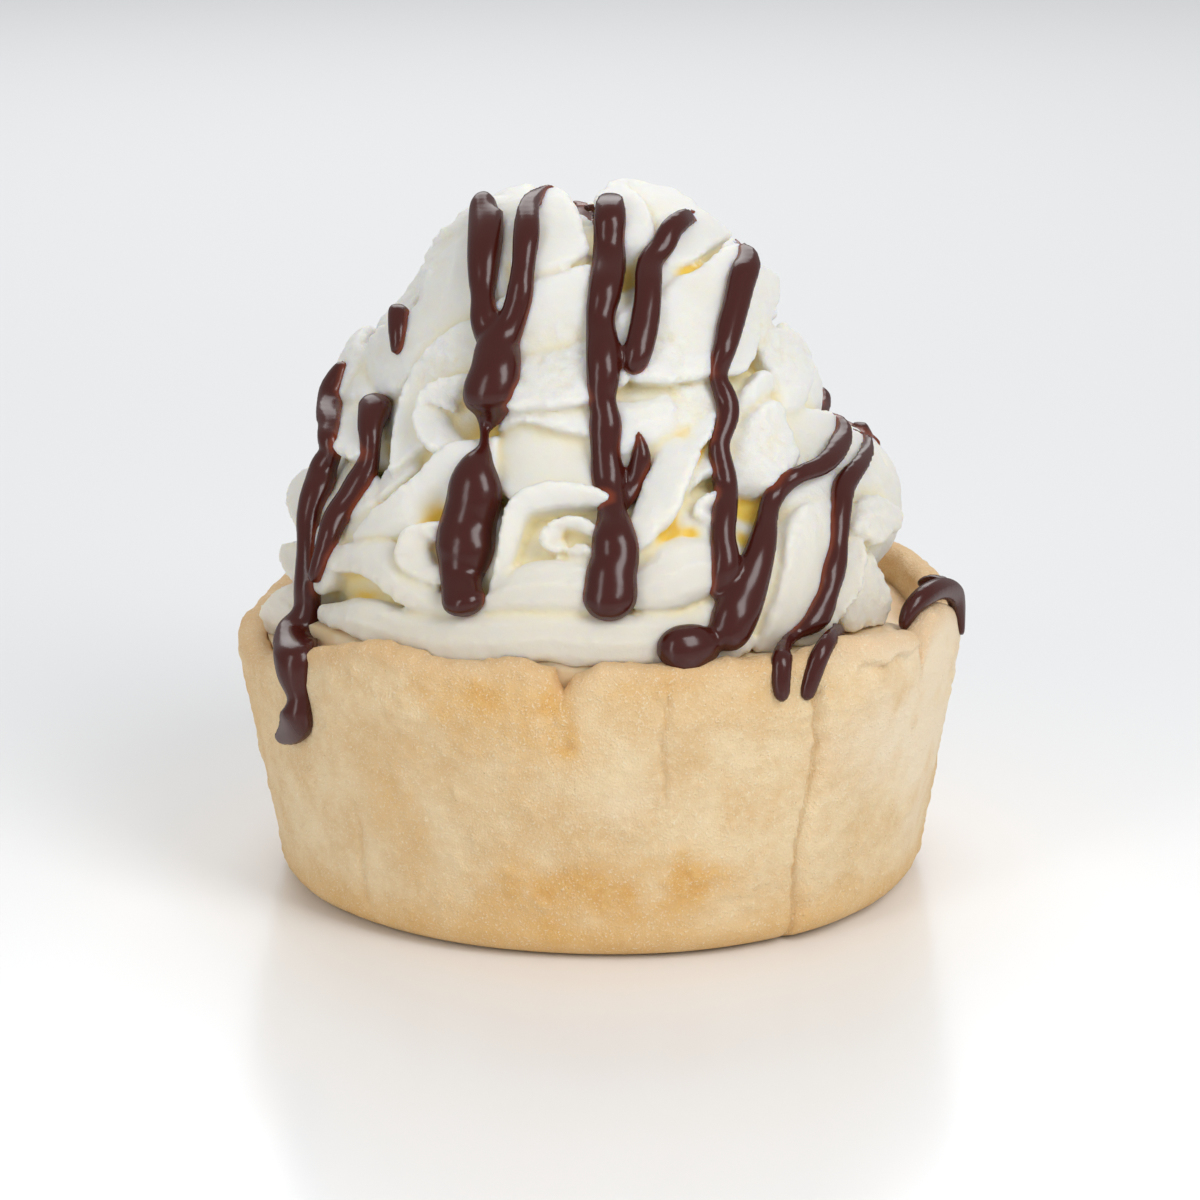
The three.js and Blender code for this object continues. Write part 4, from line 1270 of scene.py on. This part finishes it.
def melted(parts):
    only(*parts)
    bpy.ops.object.join()
    cream = bpy.context.object
    cream.name = "cream"
    apply(cream, "REMESH", mode="VOXEL", voxel_size=CREAM_VOXEL * MM)
    apply(cream, "SMOOTH", factor=0.5, iterations=1)
    spare = cream.vertex_groups.new(name="spare")
    points = points_of(cream)
    azimuth = np.abs(np.degrees(np.arctan2(points[:, 0], -points[:, 1])))
    under = 1 - smooth_step(*SPARE_BELOW, points[:, 2])
    least = np.maximum(smooth_step(*SPARE_BEHIND, azimuth) * 0.6, under)
    for level in range(1, 11):
        few = np.flatnonzero((least > (level - 1) / 10) & (least <= level / 10))
        spare.add(few.tolist(), level / 10, "REPLACE")
    share = CREAM_FACES / (2 * len(cream.data.polygons))
    print("share of the remeshed faces kept:", round(share, 2))
    settings = {"vertex_group": "spare", "vertex_group_factor": 1.0}
    apply(cream, "DECIMATE", ratio=min(1.0, share), **settings)
    filled = FILLED * np.maximum(0, hollowness(cream, 30))
    move_points(cream, points_of(cream) + normals_of(cream) * filled[:, None])
    crisp = np.clip(-CRISP * hollowness(cream, 8), *CRISP_LIMITS)
    move_points(cream, points_of(cream) + normals_of(cream) * crisp[:, None])
    points = points_of(cream)
    for azimuth, rise, reach, depth in PITS:
        middle, out = on_heap(toward(azimuth, rise), 0.0)
        near = bump(0, reach, np.linalg.norm(points - middle, axis=1))
        points -= out * (depth * near)[:, None]
    move_points(cream, points)
    return cream


cream = melted(rounds + folds)
print("cream points:", len(cream.data.vertices))

# %% [markdown]
# ### Torn lips
# Whipped cream tears as it stretches: its lips crumble and some faces get a coarse grain. Noise
# moves the points there, and less of it everywhere else. Then the cup and the filling are cut out
# of the cream, so that no piece runs into another.


# %% Crumble the lips
ROUGH_REACH = 1.2  # how far the grain goes past a rough place, as a share of its reach


def depth_in_heap(piece):
    """How far each point lies below the outline of the heap."""
    points = points_of(piece)
    foot, out = on_heap(points - (0, 0, HEART), np.zeros(len(points)))
    return np.einsum("ij,ij->i", foot - points, out)


def near_places(points, places, wider):
    """1 at these places of the heap, fading to 0 around them."""
    near = np.zeros(len(points))
    for azimuth, rise, reach, *_ in places:
        middle, _ = on_heap(toward(azimuth, rise), 0.0)
        near = np.maximum(near, bump(0, wider * reach, np.linalg.norm(points - middle, axis=1)))
    return near


def roughened(cream):
    """Thin lips tear and crumble as the cream stretches, and faces keep a fine grain."""
    lips = np.clip(-hollowness(cream, 12) / 0.25, 0, 1)
    points, normals = points_of(cream), normals_of(cream)
    torn = cloudy(points, 1.1, 2, 2)
    drift = cloudy(points, 5.0, 6, 2)
    rough = near_places(points, ROUGH, ROUGH_REACH)
    lift = 0.2 * lips * torn + 0.12 * drift + (0.02 + 0.16 * rough) * torn
    points += normals * lift[:, None]
    move_points(cream, points)


roughened(cream)
for neighbour in (cup, filling):
    apply(cream, "BOOLEAN", operation="DIFFERENCE", solver="MANIFOLD", object=neighbour)
smooth_shaded(cream)


def triangles_of(piece):
    return sum(len(face.vertices) - 2 for face in piece.data.polygons)


print("cream triangles:", triangles_of(cream))

# %% Paint hollows, pits and rough places on the cream
# the pits get a painted shade of deep yellow
PIT_SHADE_REACH = 1.5  # how far the yellow goes past a pit, as a share of its reach

# hollow, depth and the pit places mark where the cream's finish paints shade; rough marks where its
# grain is coarser
hollow = hollowness(cream, 60)
paint(cream, "hollow", hollow)
paint(cream, "depth", depth_in_heap(cream))
paint(cream, "pit_shade", near_places(points_of(cream), PITS, PIT_SHADE_REACH))
paint(cream, "rough", near_places(points_of(cream), ROUGH, ROUGH_REACH))
print("hollow shares:", np.percentile(hollow, (1, 10, 50, 90, 99)).round(2))

# %% [markdown]
# ### The colour of cream, with painted shade
# Cream is a cool white. Its shade is painted into the colour: butter yellow, as where light has
# passed through much of it, in the hollows and deep in the folds, a deeper yellow in the pits and
# a darker, warmer white low on the heap. The painted numbers tell where that is. Scattering under
# the skin keeps the rendered shadows soft and warm.


# %% Finish of the cream
def cream_finish():
    f = Finish("whipped_cream")
    where = f.place()
    grain = f.grain(where, 0.5, 3.0, 0.65)
    air = f.grain(where, 6.0, 2.0)
    hollow = f.value("hollow")
    # painted shade: near the pits, and only where the skin is hollow
    pit_shade = f.ramp(0.05, 0.75, f.value("pit_shade")) * f.ramp(0.05, 0.6, hollow)
    height = f.put("ShaderNodeSeparateXYZ", {}, {0: where}, output=2)
    white = f.tint(air, srgb(231, 230, 225), srgb(235, 234, 230))
    # painted shade: the lower part of the heap, which gets less light from above, is darker and
    # warmer
    white = f.tint((1 - f.ramp(38, 62, height)) * 0.85, white, srgb(222, 216, 202))
    # painted shade: the hollows turn a warm butter yellow
    cream_painted_shade = f.tint(f.ramp(-0.25, 0.7, hollow), white, srgb(240, 229, 190))
    # painted shade: deep, hollow recesses of the folds turn a deeper yellow
    deep_fold_shade = f.ramp(1.0, 3.6, f.value("depth")) * f.ramp(0.0, 0.6, hollow)
    cream_painted_shade = f.tint(deep_fold_shade * 0.4, cream_painted_shade, srgb(242, 220, 140))
    # painted shade: the pits turn a deep yellow
    cream_painted_shade = f.tint(pit_shade, cream_painted_shade, srgb(244, 208, 84))
    torn = grain * (0.35 + f.value("rough"))
    return f.surface(
        Base_Color=cream_painted_shade,
        Roughness=0.5 + 0.15 * grain,
        Specular_IOR_Level=0.35,
        Subsurface_Weight=1.0,
        Subsurface_Radius=(1.0, 0.8, 0.45),
        Subsurface_Scale=0.0014,
        Normal=f.relief(torn, 0.2, 0.7),
    )


wear(cream, cream_finish())

# %% [markdown]
# ## The chocolate
# The syrup was drizzled from side to side, so each strand keeps nearly to one line from back to
# front while it runs over the heap. What is seen of a strand is laid by shooting rays at the cream
# from where the camera stands, and its hidden part runs on in an upright plane. It bridges narrow
# creases and sags a little into wide ones. Its width swells and pinches as the thick syrup beads.

# %% Strands that are seen
STRANDS = {
    # behind: across, lowest height, half width; seen: across, height, half width
    "outer_left": {"seen": (
        (-31.8, 64.4, 0.8), (-32.3, 62.9, 1.2), (-33.2, 60.9, 1.6), (-33.8, 58.3, 1.6),
        (-34.1, 55.9, 1.3), (-34, 53.6, 1.3), (-34.5, 51.2, 1.6), (-35, 48.9, 1.8),
        (-36, 46.6, 1.6), (-36.6, 44.2, 1.4), (-36.7, 41.8, 1.3), (-36.8, 39.5, 1.3),
        (-36.7, 37, 1.6), (-36.9, 34.6, 1.6), (-36.9, 32.3, 1.6), (-37.6, 30.3, 2.1),
        (-38.4, 28.9, 2.6), (-38.5, 25.5, 2.4), (-38.5, 23.6, 2.1), (-38.2, 21.9, 1.6),
        (-38, 20.6, 1.4), (-38.2, 19, 1.7), (-38.6, 17.6, 2.2), (-39.6, 16.2, 1.7),
        (-41.4, 15.2, 0.5)
    )},
    "next_left": {"seen": (
        (-27.9, 60.4, 1.7), (-28, 59.4, 2), (-28, 58.3, 2), (-28.7, 55.9, 1.5), (-28.7, 53.6, 1.2),
        (-29, 51.2, 1.3), (-30, 48.9, 1.7), (-31.4, 46.6, 1.6), (-33.2, 44.2, 1.5),
        (-34.1, 41.8, 1.3), (-34.8, 39.5, 1.2), (-35.6, 37.5, 1), (-36.2, 35.6, 0.8)
    )},
    "left_wedge": {"seen": (
        (-24.6, 71.6, 1.5), (-25, 70.5, 1.3), (-25.1, 69.2, 1.2), (-25.2, 67.2, 1),
        (-25.3, 64.9, 0.7)
    )},
    "shoulder_line": {"seen": (
        (-13.8, 85.2, 1.6), (-14.1, 83.9, 1.9), (-14.2, 80.4, 2), (-14.5, 76.4, 1.8),
        (-14.6, 73.6, 1.5), (-14.6, 72, 1.3), (-14.5, 70.5, 1.6), (-14.2, 68.5, 1.6),
        (-13.4, 65.9, 1.5)
    )},
    "long_drop": {"behind": (-6.6, 47, 1.5), "seen": (
        (-6.8, 86, 0.8), (-7.8, 85.6, 1.1), (-8.9, 84.2, 1.2), (-9.2, 80.4, 1.5), (-9.6, 76.4, 1.3),
        (-10.1, 72.4, 1.5), (-10.6, 70.5, 1.5), (-11.4, 68.5, 1.7), (-12.6, 66.5, 2.4),
        (-13.1, 62.5, 2.8), (-13.7, 60.5, 3), (-13.9, 58.8, 2.8), (-13.9, 57.2, 1.7),
        (-14.4, 56, 0.8), (-14.6, 54.5, 0.5), (-14.6, 53.1, 0.8), (-15.3, 51.3, 1.9),
        (-15.7, 48.9, 2.8), (-15.8, 46.6, 3), (-16.4, 44.2, 3), (-16.9, 41.8, 3.2),
        (-17, 39.5, 3.2), (-17.5, 37, 2.4), (-17.5, 34.6, 2.2), (-17, 32.6, 2.7), (-16.8, 31.3, 2.5)
    )},
    "top_drop": {"behind": (-2.6, 60, 1.4), "seen": (
        (-2.8, 86.2, 0.6), (-3, 85.5, 0.8), (-2.8, 84.4, 0.7), (-2.4, 83.4, 0.4)
    )},
    "middle": {"seen": (
        (1.2, 85.8, 0.9), (1.1, 84.8, 1.5), (1, 82.3, 1.8), (0.9, 79.5, 1.7), (0.9, 76.4, 1.9),
        (0.3, 72.4, 1.8), (-0.1, 70.5, 1.6), (-0.1, 68.5, 1.6), (0.1, 66.5, 1.8), (0.2, 62.5, 1.8),
        (0, 59.5, 1.5), (0.3, 58.1, 1.5), (0.5, 56.3, 1.8), (0.5, 54.3, 1.7), (0.5, 52.1, 1.6),
        (0.7, 49.9, 1.8), (0.9, 47.6, 1.6), (1.2, 45.5, 1.5), (1.5, 43.4, 2), (1.6, 41.2, 2.5),
        (1.8, 39.1, 2.5), (1.2, 36.9, 2.7), (1.1, 34.6, 2.9), (0.8, 32.9, 2.9), (0.6, 30.7, 2.7)
    )},
    "leaf": {"seen": (
        (4.4, 55.8, 0.2), (4.7, 54.5, 0.5), (4.9, 53, 1), (4.8, 51.2, 1.2), (4.4, 49.4, 1.2),
        (3.8, 47.7, 1), (3, 46.2, 0.7), (2.2, 44.9, 0.6)
    )},
    "right_of_middle": {"behind": (12.5, 56, 1.5), "seen": (
        (11.5, 82.9, 0.8), (10.6, 82.6, 1.2), (9.4, 81.9, 1.3), (8.3, 80.6, 1.3), (7.9, 79.4, 1.4),
        (7.3, 78.4, 1.3), (6.3, 77.4, 1.4), (5.8, 76.1, 1.5), (5.7, 72.5, 1.5), (5.2, 68.5, 1.6),
        (4.3, 64.7, 1.5), (3.5, 62.4, 1)
    )},
    "right_line": {"behind": (19.5, 47, 1.5), "seen": (
        (17.6, 79.9, 0.6), (18.2, 79.1, 1.1), (18.4, 78, 1.5), (18, 76.8, 1.6), (17.2, 74.4, 1.6),
        (16.6, 71.6, 1.5), (15.8, 68.5, 1.5), (15.3, 66.1, 1.3), (14.5, 63.7, 1.2), (14.4, 62, 1),
        (15.1, 60.4, 1.2), (15.7, 58.5, 1.3), (15.6, 56.7, 1.2), (15, 55, 1.1), (14.5, 53.4, 1.2),
        (14.9, 51.2, 1.3), (15.4, 48.6, 1.4), (15.5, 46.4, 1.4), (15.2, 43.4, 1.4),
        (15.2, 41.2, 1.4), (15.5, 39.1, 1.6), (15.3, 37.2, 1.6), (14.7, 35.4, 1.1),
        (14.1, 33.6, 0.8)
    )},
    "far_right": {"behind": (29.5, 44, 1.4), "seen": (
        (29.9, 56.7, 1.3), (30.3, 55.3, 1.3), (29.4, 53.2, 1.3), (28, 51.4, 1.2), (26.2, 50.4, 1.1),
        (24.5, 49.8, 1), (22.5, 48.5, 1.2), (21.3, 46.8, 1.2), (20.7, 44.6, 1.2), (20.3, 42, 1.5),
        (19.5, 38.8, 1.8), (18.6, 36.2, 2.1), (17.6, 33.6, 2.4), (16.5, 31, 2.5), (15.8, 28.4, 2.1),
        (15.4, 26.8, 1.6)
    )},
    "bulb": {"seen": (
        (6.9, 26.4, 1.7), (8.4, 26.9, 2.4), (10.9, 27.2, 2.7), (13.2, 27.1, 2.5), (14.9, 26.4, 1.8)
    )},
    "edge_right": {"behind": (33.5, 43, 1.4), "seen": (
        (33.6, 55, 0.8), (33.3, 53.5, 0.9), (32.7, 51.8, 1), (31.2, 49.9, 1.2), (30.1, 48.2, 1.4),
        (29.9, 45.5, 1.2), (29.6, 43.3, 1.3), (29.5, 41.2, 1.2), (29.4, 39.1, 1.3),
        (28.8, 36.9, 1.5), (28.4, 34.6, 1.2), (27.6, 32.4, 1.5), (26.7, 30.7, 1.3), (25, 29.6, 0.8),
        (23.6, 28.5, 0.8), (22.9, 27.3, 1), (22.7, 25.7, 1.2), (22.6, 23.6, 1.1), (22.7, 21.8, 1),
        (22.8, 20, 0.7)
    )},
    "last_right": {"seen": (
        (30.5, 30.1, 0.9), (29.5, 29.4, 1), (28.5, 28.2, 1), (27.5, 26.4, 1.1), (26.7, 24.2, 1.1),
        (26.1, 22.1, 1), (25.8, 20.2, 0.7)
    )},
}

# %% Strands over the rim and on the far side
OVER_RIM = {
    # azimuth, height, lift from the wall, half width
    "loop": (
        (60, 35.5, -3.8, 0.6), (62, 37.6, -3.2, 1.1), (65, 39, -2, 1.25), (71, 39, -0.8, 1.25),
        (77, 37.2, 0, 1.25), (80, 34, 0.2, 1.2), (80.5, 31, 0.1, 0.9),
    ),
    "back_loop": ((96, 34.5, -4.6, 0.6), (94, 35.3, -2.8, 0.8), (90, 35.6, -1, 0.8)),
}
BACK_BITS = (
    # azimuth, rise, half width: four only peep over the edge of the heap, one runs down the back
    ((98, 52, 0.9), (112, 60, 1.3), (130, 66, 1.3)),
    ((97, 40, 0.9), (108, 46, 1.3), (122, 52, 1.2)),
    ((97, 12, 0.8), (108, 18, 1.2), (120, 28, 1.2)),
    ((96, -8, 0.9), (106, -2, 1.2), (116, 8, 1.2)),
    ((228, 60, 1), (222, 54, 1.6), (215, 46, 1.7), (208, 32, 1.6), (204, 14, 1.7), (202, 2, 1.8)),
)
print(len(STRANDS), "strands,", len(OVER_RIM), "over the rim,", len(BACK_BITS), "behind")

# %% [markdown]
# ### What the syrup lies on
# Rays need a surface to strike. The syrup is too thick to run into the narrowest creases, so it
# is laid on a coarser, softened copy of the cream and the cup, which is thrown away afterwards.


# %% Drape
def skin_tree(piece):
    """A search tree of a mesh, in millimetres."""
    points = [Vector(p) for p in points_of(piece)]
    return BVHTree.FromPolygons(points, [tuple(p.vertices) for p in piece.data.polygons])


def draped(*under):
    """A softened copy of what thick syrup rests on, without the narrowest creases."""
    only(*under)
    bpy.ops.object.duplicate()
    bpy.ops.object.join()
    soft = bpy.context.object
    apply(soft, "REMESH", mode="VOXEL", voxel_size=0.8 * MM)
    apply(soft, "SMOOTH", factor=0.5, iterations=6)
    tree = skin_tree(soft)
    bpy.ops.object.delete()
    return tree


cream_tree = skin_tree(cream)
drape = draped(cream, cup)
print("the drape is ready")

# %% Follow the heap behind
SHOT = 14.0  # rays on the far side start this far off the heap


def evened(line):
    """The inner stops of a line, drawn towards the middle of their neighbours."""
    return (line[:-2] + 2 * line[1:-1] + line[2:]) / 4


def dense(stops, step):
    stops = np.asarray(stops, float)
    length = np.linalg.norm(np.diff(stops[:, :-1], axis=0), axis=1).sum()
    return curved(stops, np.linspace(0, 1, max(3, int(length / step))))


def over_back(stops, tree):
    """A strand that is laid by shooting inwards from these directions, not by what is seen."""
    found = []
    for stop in dense(stops, 0.6):
        far, out = on_heap(stop[:3], SHOT)
        spot = tree.ray_cast(Vector(far), Vector(-out), 2 * SHOT)[0]
        if spot:
            found.append((*spot, stop[3]))
    found = np.array(found)
    for _ in range(14):
        found[1:-1] = evened(found)
    return found


def back_bit(stops, tree):
    ways = [(*(ARM * toward(azimuth, rise)), half) for azimuth, rise, half in stops]
    found = over_back(ways, tree)
    return found[:, :3], found[:, 3]


def up_the_back(across, low, half):
    """Directions up the far side of the heap, in the upright plane at this place across."""
    height = np.arange(low, HEAP[0][-1], 1.5)
    away = np.interp(height, *HEAP) ** 2 - across**2
    height, away = height[away > 4], np.sqrt(away[away > 4])
    place = np.stack([0 * away + across, away, height - HEART], axis=1)
    place = ARM * place / np.linalg.norm(place, axis=1, keepdims=True)
    return [(*row, half) for row in place]


# %% Lay a strand
SPAN = 4  # stops to each side that the syrup spans
BRIDGED = 3.0  # it passes level over creases of this depth, in millimetres,
SAG = 0.6  # and sags by up to this much into deeper ones


def spanned(away, window):
    """Thick syrup spans a step down: near the nearest place in the window, then a running mean."""
    size = 2 * window + 1
    wide = np.pad(away, window, mode="edge")
    near = np.array([wide[i : i + size].min() for i in range(len(away))])
    away = np.minimum(np.maximum(near, away - BRIDGED), near + SAG)
    wide = np.pad(away, 2, mode="edge")
    return np.convolve(wide, np.ones(5) / 5, "valid")


def laid(seen, tree, behind=None):
    """Where a strand lies on the cream: points and half widths."""
    eye = VIEW_MIDDLE - VIEW_DISTANCE * looking
    met = []
    for across, height, half in dense(seen, 0.5):
        # a ray that misses over the edge of the heap slips inwards until it strikes
        for slip in np.arange(0, 4, 0.4):
            aim = Vector((across - slip * np.sign(across), 0, height - 0.7 * slip))
            ray = (aim - eye).normalized()
            spot = tree.ray_cast(eye, ray)[0]
            if spot is not None:
                met.append((*ray, half, (spot - eye).length))
                break
    *ray, half, away = np.array(met).T
    points = np.array(eye) + np.stack(ray, axis=1) * spanned(away, SPAN)[:, None]
    found = np.column_stack([points, half])
    if behind:
        way = up_the_back(*behind)
        first = found[0, :3] - (0, 0, HEART)
        way.append((*(ARM * first / np.linalg.norm(first)), found[0, 3]))
        hidden = over_back(way, tree)
        hidden = hidden[hidden[:, 1] > found[0, 1] + 1.2]
        found = np.concatenate([hidden, found])
        join = slice(max(1, len(hidden) - 8), min(len(hidden) + 8, len(found) - 1))
        for _ in range(12):
            found[join] = evened(found)[join.start - 1 : join.stop - 1]
    for _ in range(3):
        found[1:-1] = evened(found)
    return found[:, :3], found[:, 3]


# %% A bead of syrup
FULLNESS = 1.12
PROUD = 0.85  # how far a strand stands out, as a share of its half width
SUNK = 0.95  # and how far its back reaches in
DRIP_STOPS = 40


def bead(points, half, sight=None):
    """A strand of syrup along points, with rounded ends."""
    run = walked(points)
    body, share, face = long_ball(20, max(12, int(run[-1] / 0.5)))
    at = share * run[-1]

    def read(line):
        return np.stack([np.interp(at, run, column) for column in line.T], axis=1)

    spine, along = read(points), read(np.gradient(points, run, axis=0))
    wide = FULLNESS * np.interp(at, run, half)
    end = np.minimum(at, run[-1] - at)
    plump = np.sqrt(np.clip(1 - (1 - np.minimum(end / wide, 1)) ** 2, 0, 1))
    _, out = on_heap(spine - (0, 0, HEART), np.zeros(len(spine)))
    if sight is not None:
        out = out - 0.8 * np.array(sight)
        along = along - np.outer(along @ sight, sight)
    along /= np.linalg.norm(along, axis=1, keepdims=True)
    side = np.cross(out, along)
    side /= np.linalg.norm(side, axis=1, keepdims=True)
    out = np.cross(along, side)
    proud = np.sin(face) * np.where(np.sin(face) > 0, PROUD, SUNK)
    spine = spine + side * (wide * plump * np.cos(face))[:, None]
    spine = spine + out * (wide * plump * proud + 0.1 * wide)[:, None]
    move_points(body, spine)
    return body


def drip_line(stops):
    azimuth, height, lift, half = curved(stops, np.linspace(0, 1, DRIP_STOPS)).T
    radius = wall_radius(azimuth, height) + pressed(azimuth, height) + lift
    return around(azimuth, radius, height), half


beads = [bead(*laid(tree=drape, **route), sight=looking) for route in STRANDS.values()]
beads += [bead(*back_bit(stops, drape)) for stops in BACK_BITS]
beads += [bead(*drip_line(stops)) for stops in OVER_RIM.values()]
print(len(beads), "beads of syrup")

# %% [markdown]
# ### One pour
# Where strands meet, syrup runs together. A voxel remesh melts the beads into one skin, and a few
# strokes of smoothing round the corners between them. The thinner the syrup lies on the cream,
# the redder it looks, so its thickness is painted on the points.

# %% Pour the syrup
CHOCOLATE_VOXEL = 0.36


def poured(parts):
    only(*parts)
    bpy.ops.object.join()
    syrup = bpy.context.object
    syrup.name = "chocolate"
    apply(syrup, "REMESH", mode="VOXEL", voxel_size=CHOCOLATE_VOXEL * MM)
    apply(syrup, "SMOOTH", factor=0.5, iterations=5)
    smooth_shaded(syrup)
    return syrup


chocolate = poured(beads)


def thinness(syrup, tree):
    """1 where the syrup is a mere film on the cream, 0 where it is thick."""
    away = np.array([tree.find_nearest(Vector(p))[3] for p in points_of(syrup)])
    return 1 - smooth_step(0.1, 0.9, away)


paint(chocolate, "film", thinness(chocolate, cream_tree))
print("chocolate triangles:", triangles_of(chocolate))

# %% [markdown]
# ### The gloss of syrup
# Syrup is a dark, nearly matt brown under a clear smooth coat that mirrors the lamps. At its edges
# the coat would mirror the pale room and turn them grey, so it is weaker there.


# %% Finish of the chocolate
def chocolate_finish():
    f = Finish("chocolate_syrup")
    where = f.place()
    edge = f.put("ShaderNodeLayerWeight", {}, {"Blend": 0.5}, output="Facing")
    colour = f.tint(f.value("film") * 0.7, (0.055, 0.0078, 0.0046), (0.24, 0.045, 0.015))
    return f.surface(
        Base_Color=colour,
        Roughness=0.5,
        Specular_IOR_Level=0.0,
        Coat_Weight=1 - 0.7 * f.ramp(0.55, 1.0, edge),
        Coat_Roughness=0.21,
        Coat_IOR=1.44,
        Normal=f.relief(f.grain(where, 1.6, 2.0), 0.08, 0.3),
    )


wear(chocolate, chocolate_finish())

# %% [markdown]
# ## Bind the pieces to the solids
# Each new piece stands for a solid of the imported model, which is hidden, and is attached to the
# root body. The chocolate stands for parts of two solids, since its strands are fused to what they
# lie on there.

# %% Bind
for piece, slot, nodes in (
    (cup, "pastry", ("pastry_shell",)),
    (filling, "filling", ("filling",)),
    (cream, "cream", ("whipped_cream",)),
    (chocolate, "chocolate", ("whipped_cream", "pastry_shell")),
):
    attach(piece, "root")
    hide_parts(*nodes)
    print(piece.name, "stands for", *nodes)

# %% [markdown]
# ## Keep to the imported size
# The finer skin may not make the tart bigger than its solids. What comes near the sides of their
# box is pressed back softly.

# %% Keep inside the box
SLACK = 0.05
SOFT = 0.8


def kept_inside(piece):
    """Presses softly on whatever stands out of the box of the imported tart."""
    points = points_of(piece)
    for axis in range(3):
        low, high = (corner[axis] / MM for corner in SOLID_BOX)
        over = np.maximum(0, points[:, axis] - (high - SLACK - SOFT))
        points[:, axis] += SOFT * (1 - np.exp(-over / SOFT)) - over
        if axis < 2:
            over = np.maximum(0, low + SLACK + SOFT - points[:, axis])
            points[:, axis] -= SOFT * (1 - np.exp(-over / SOFT)) - over
    move_points(piece, points)


for piece in (cup, cream, chocolate):
    kept_inside(piece)
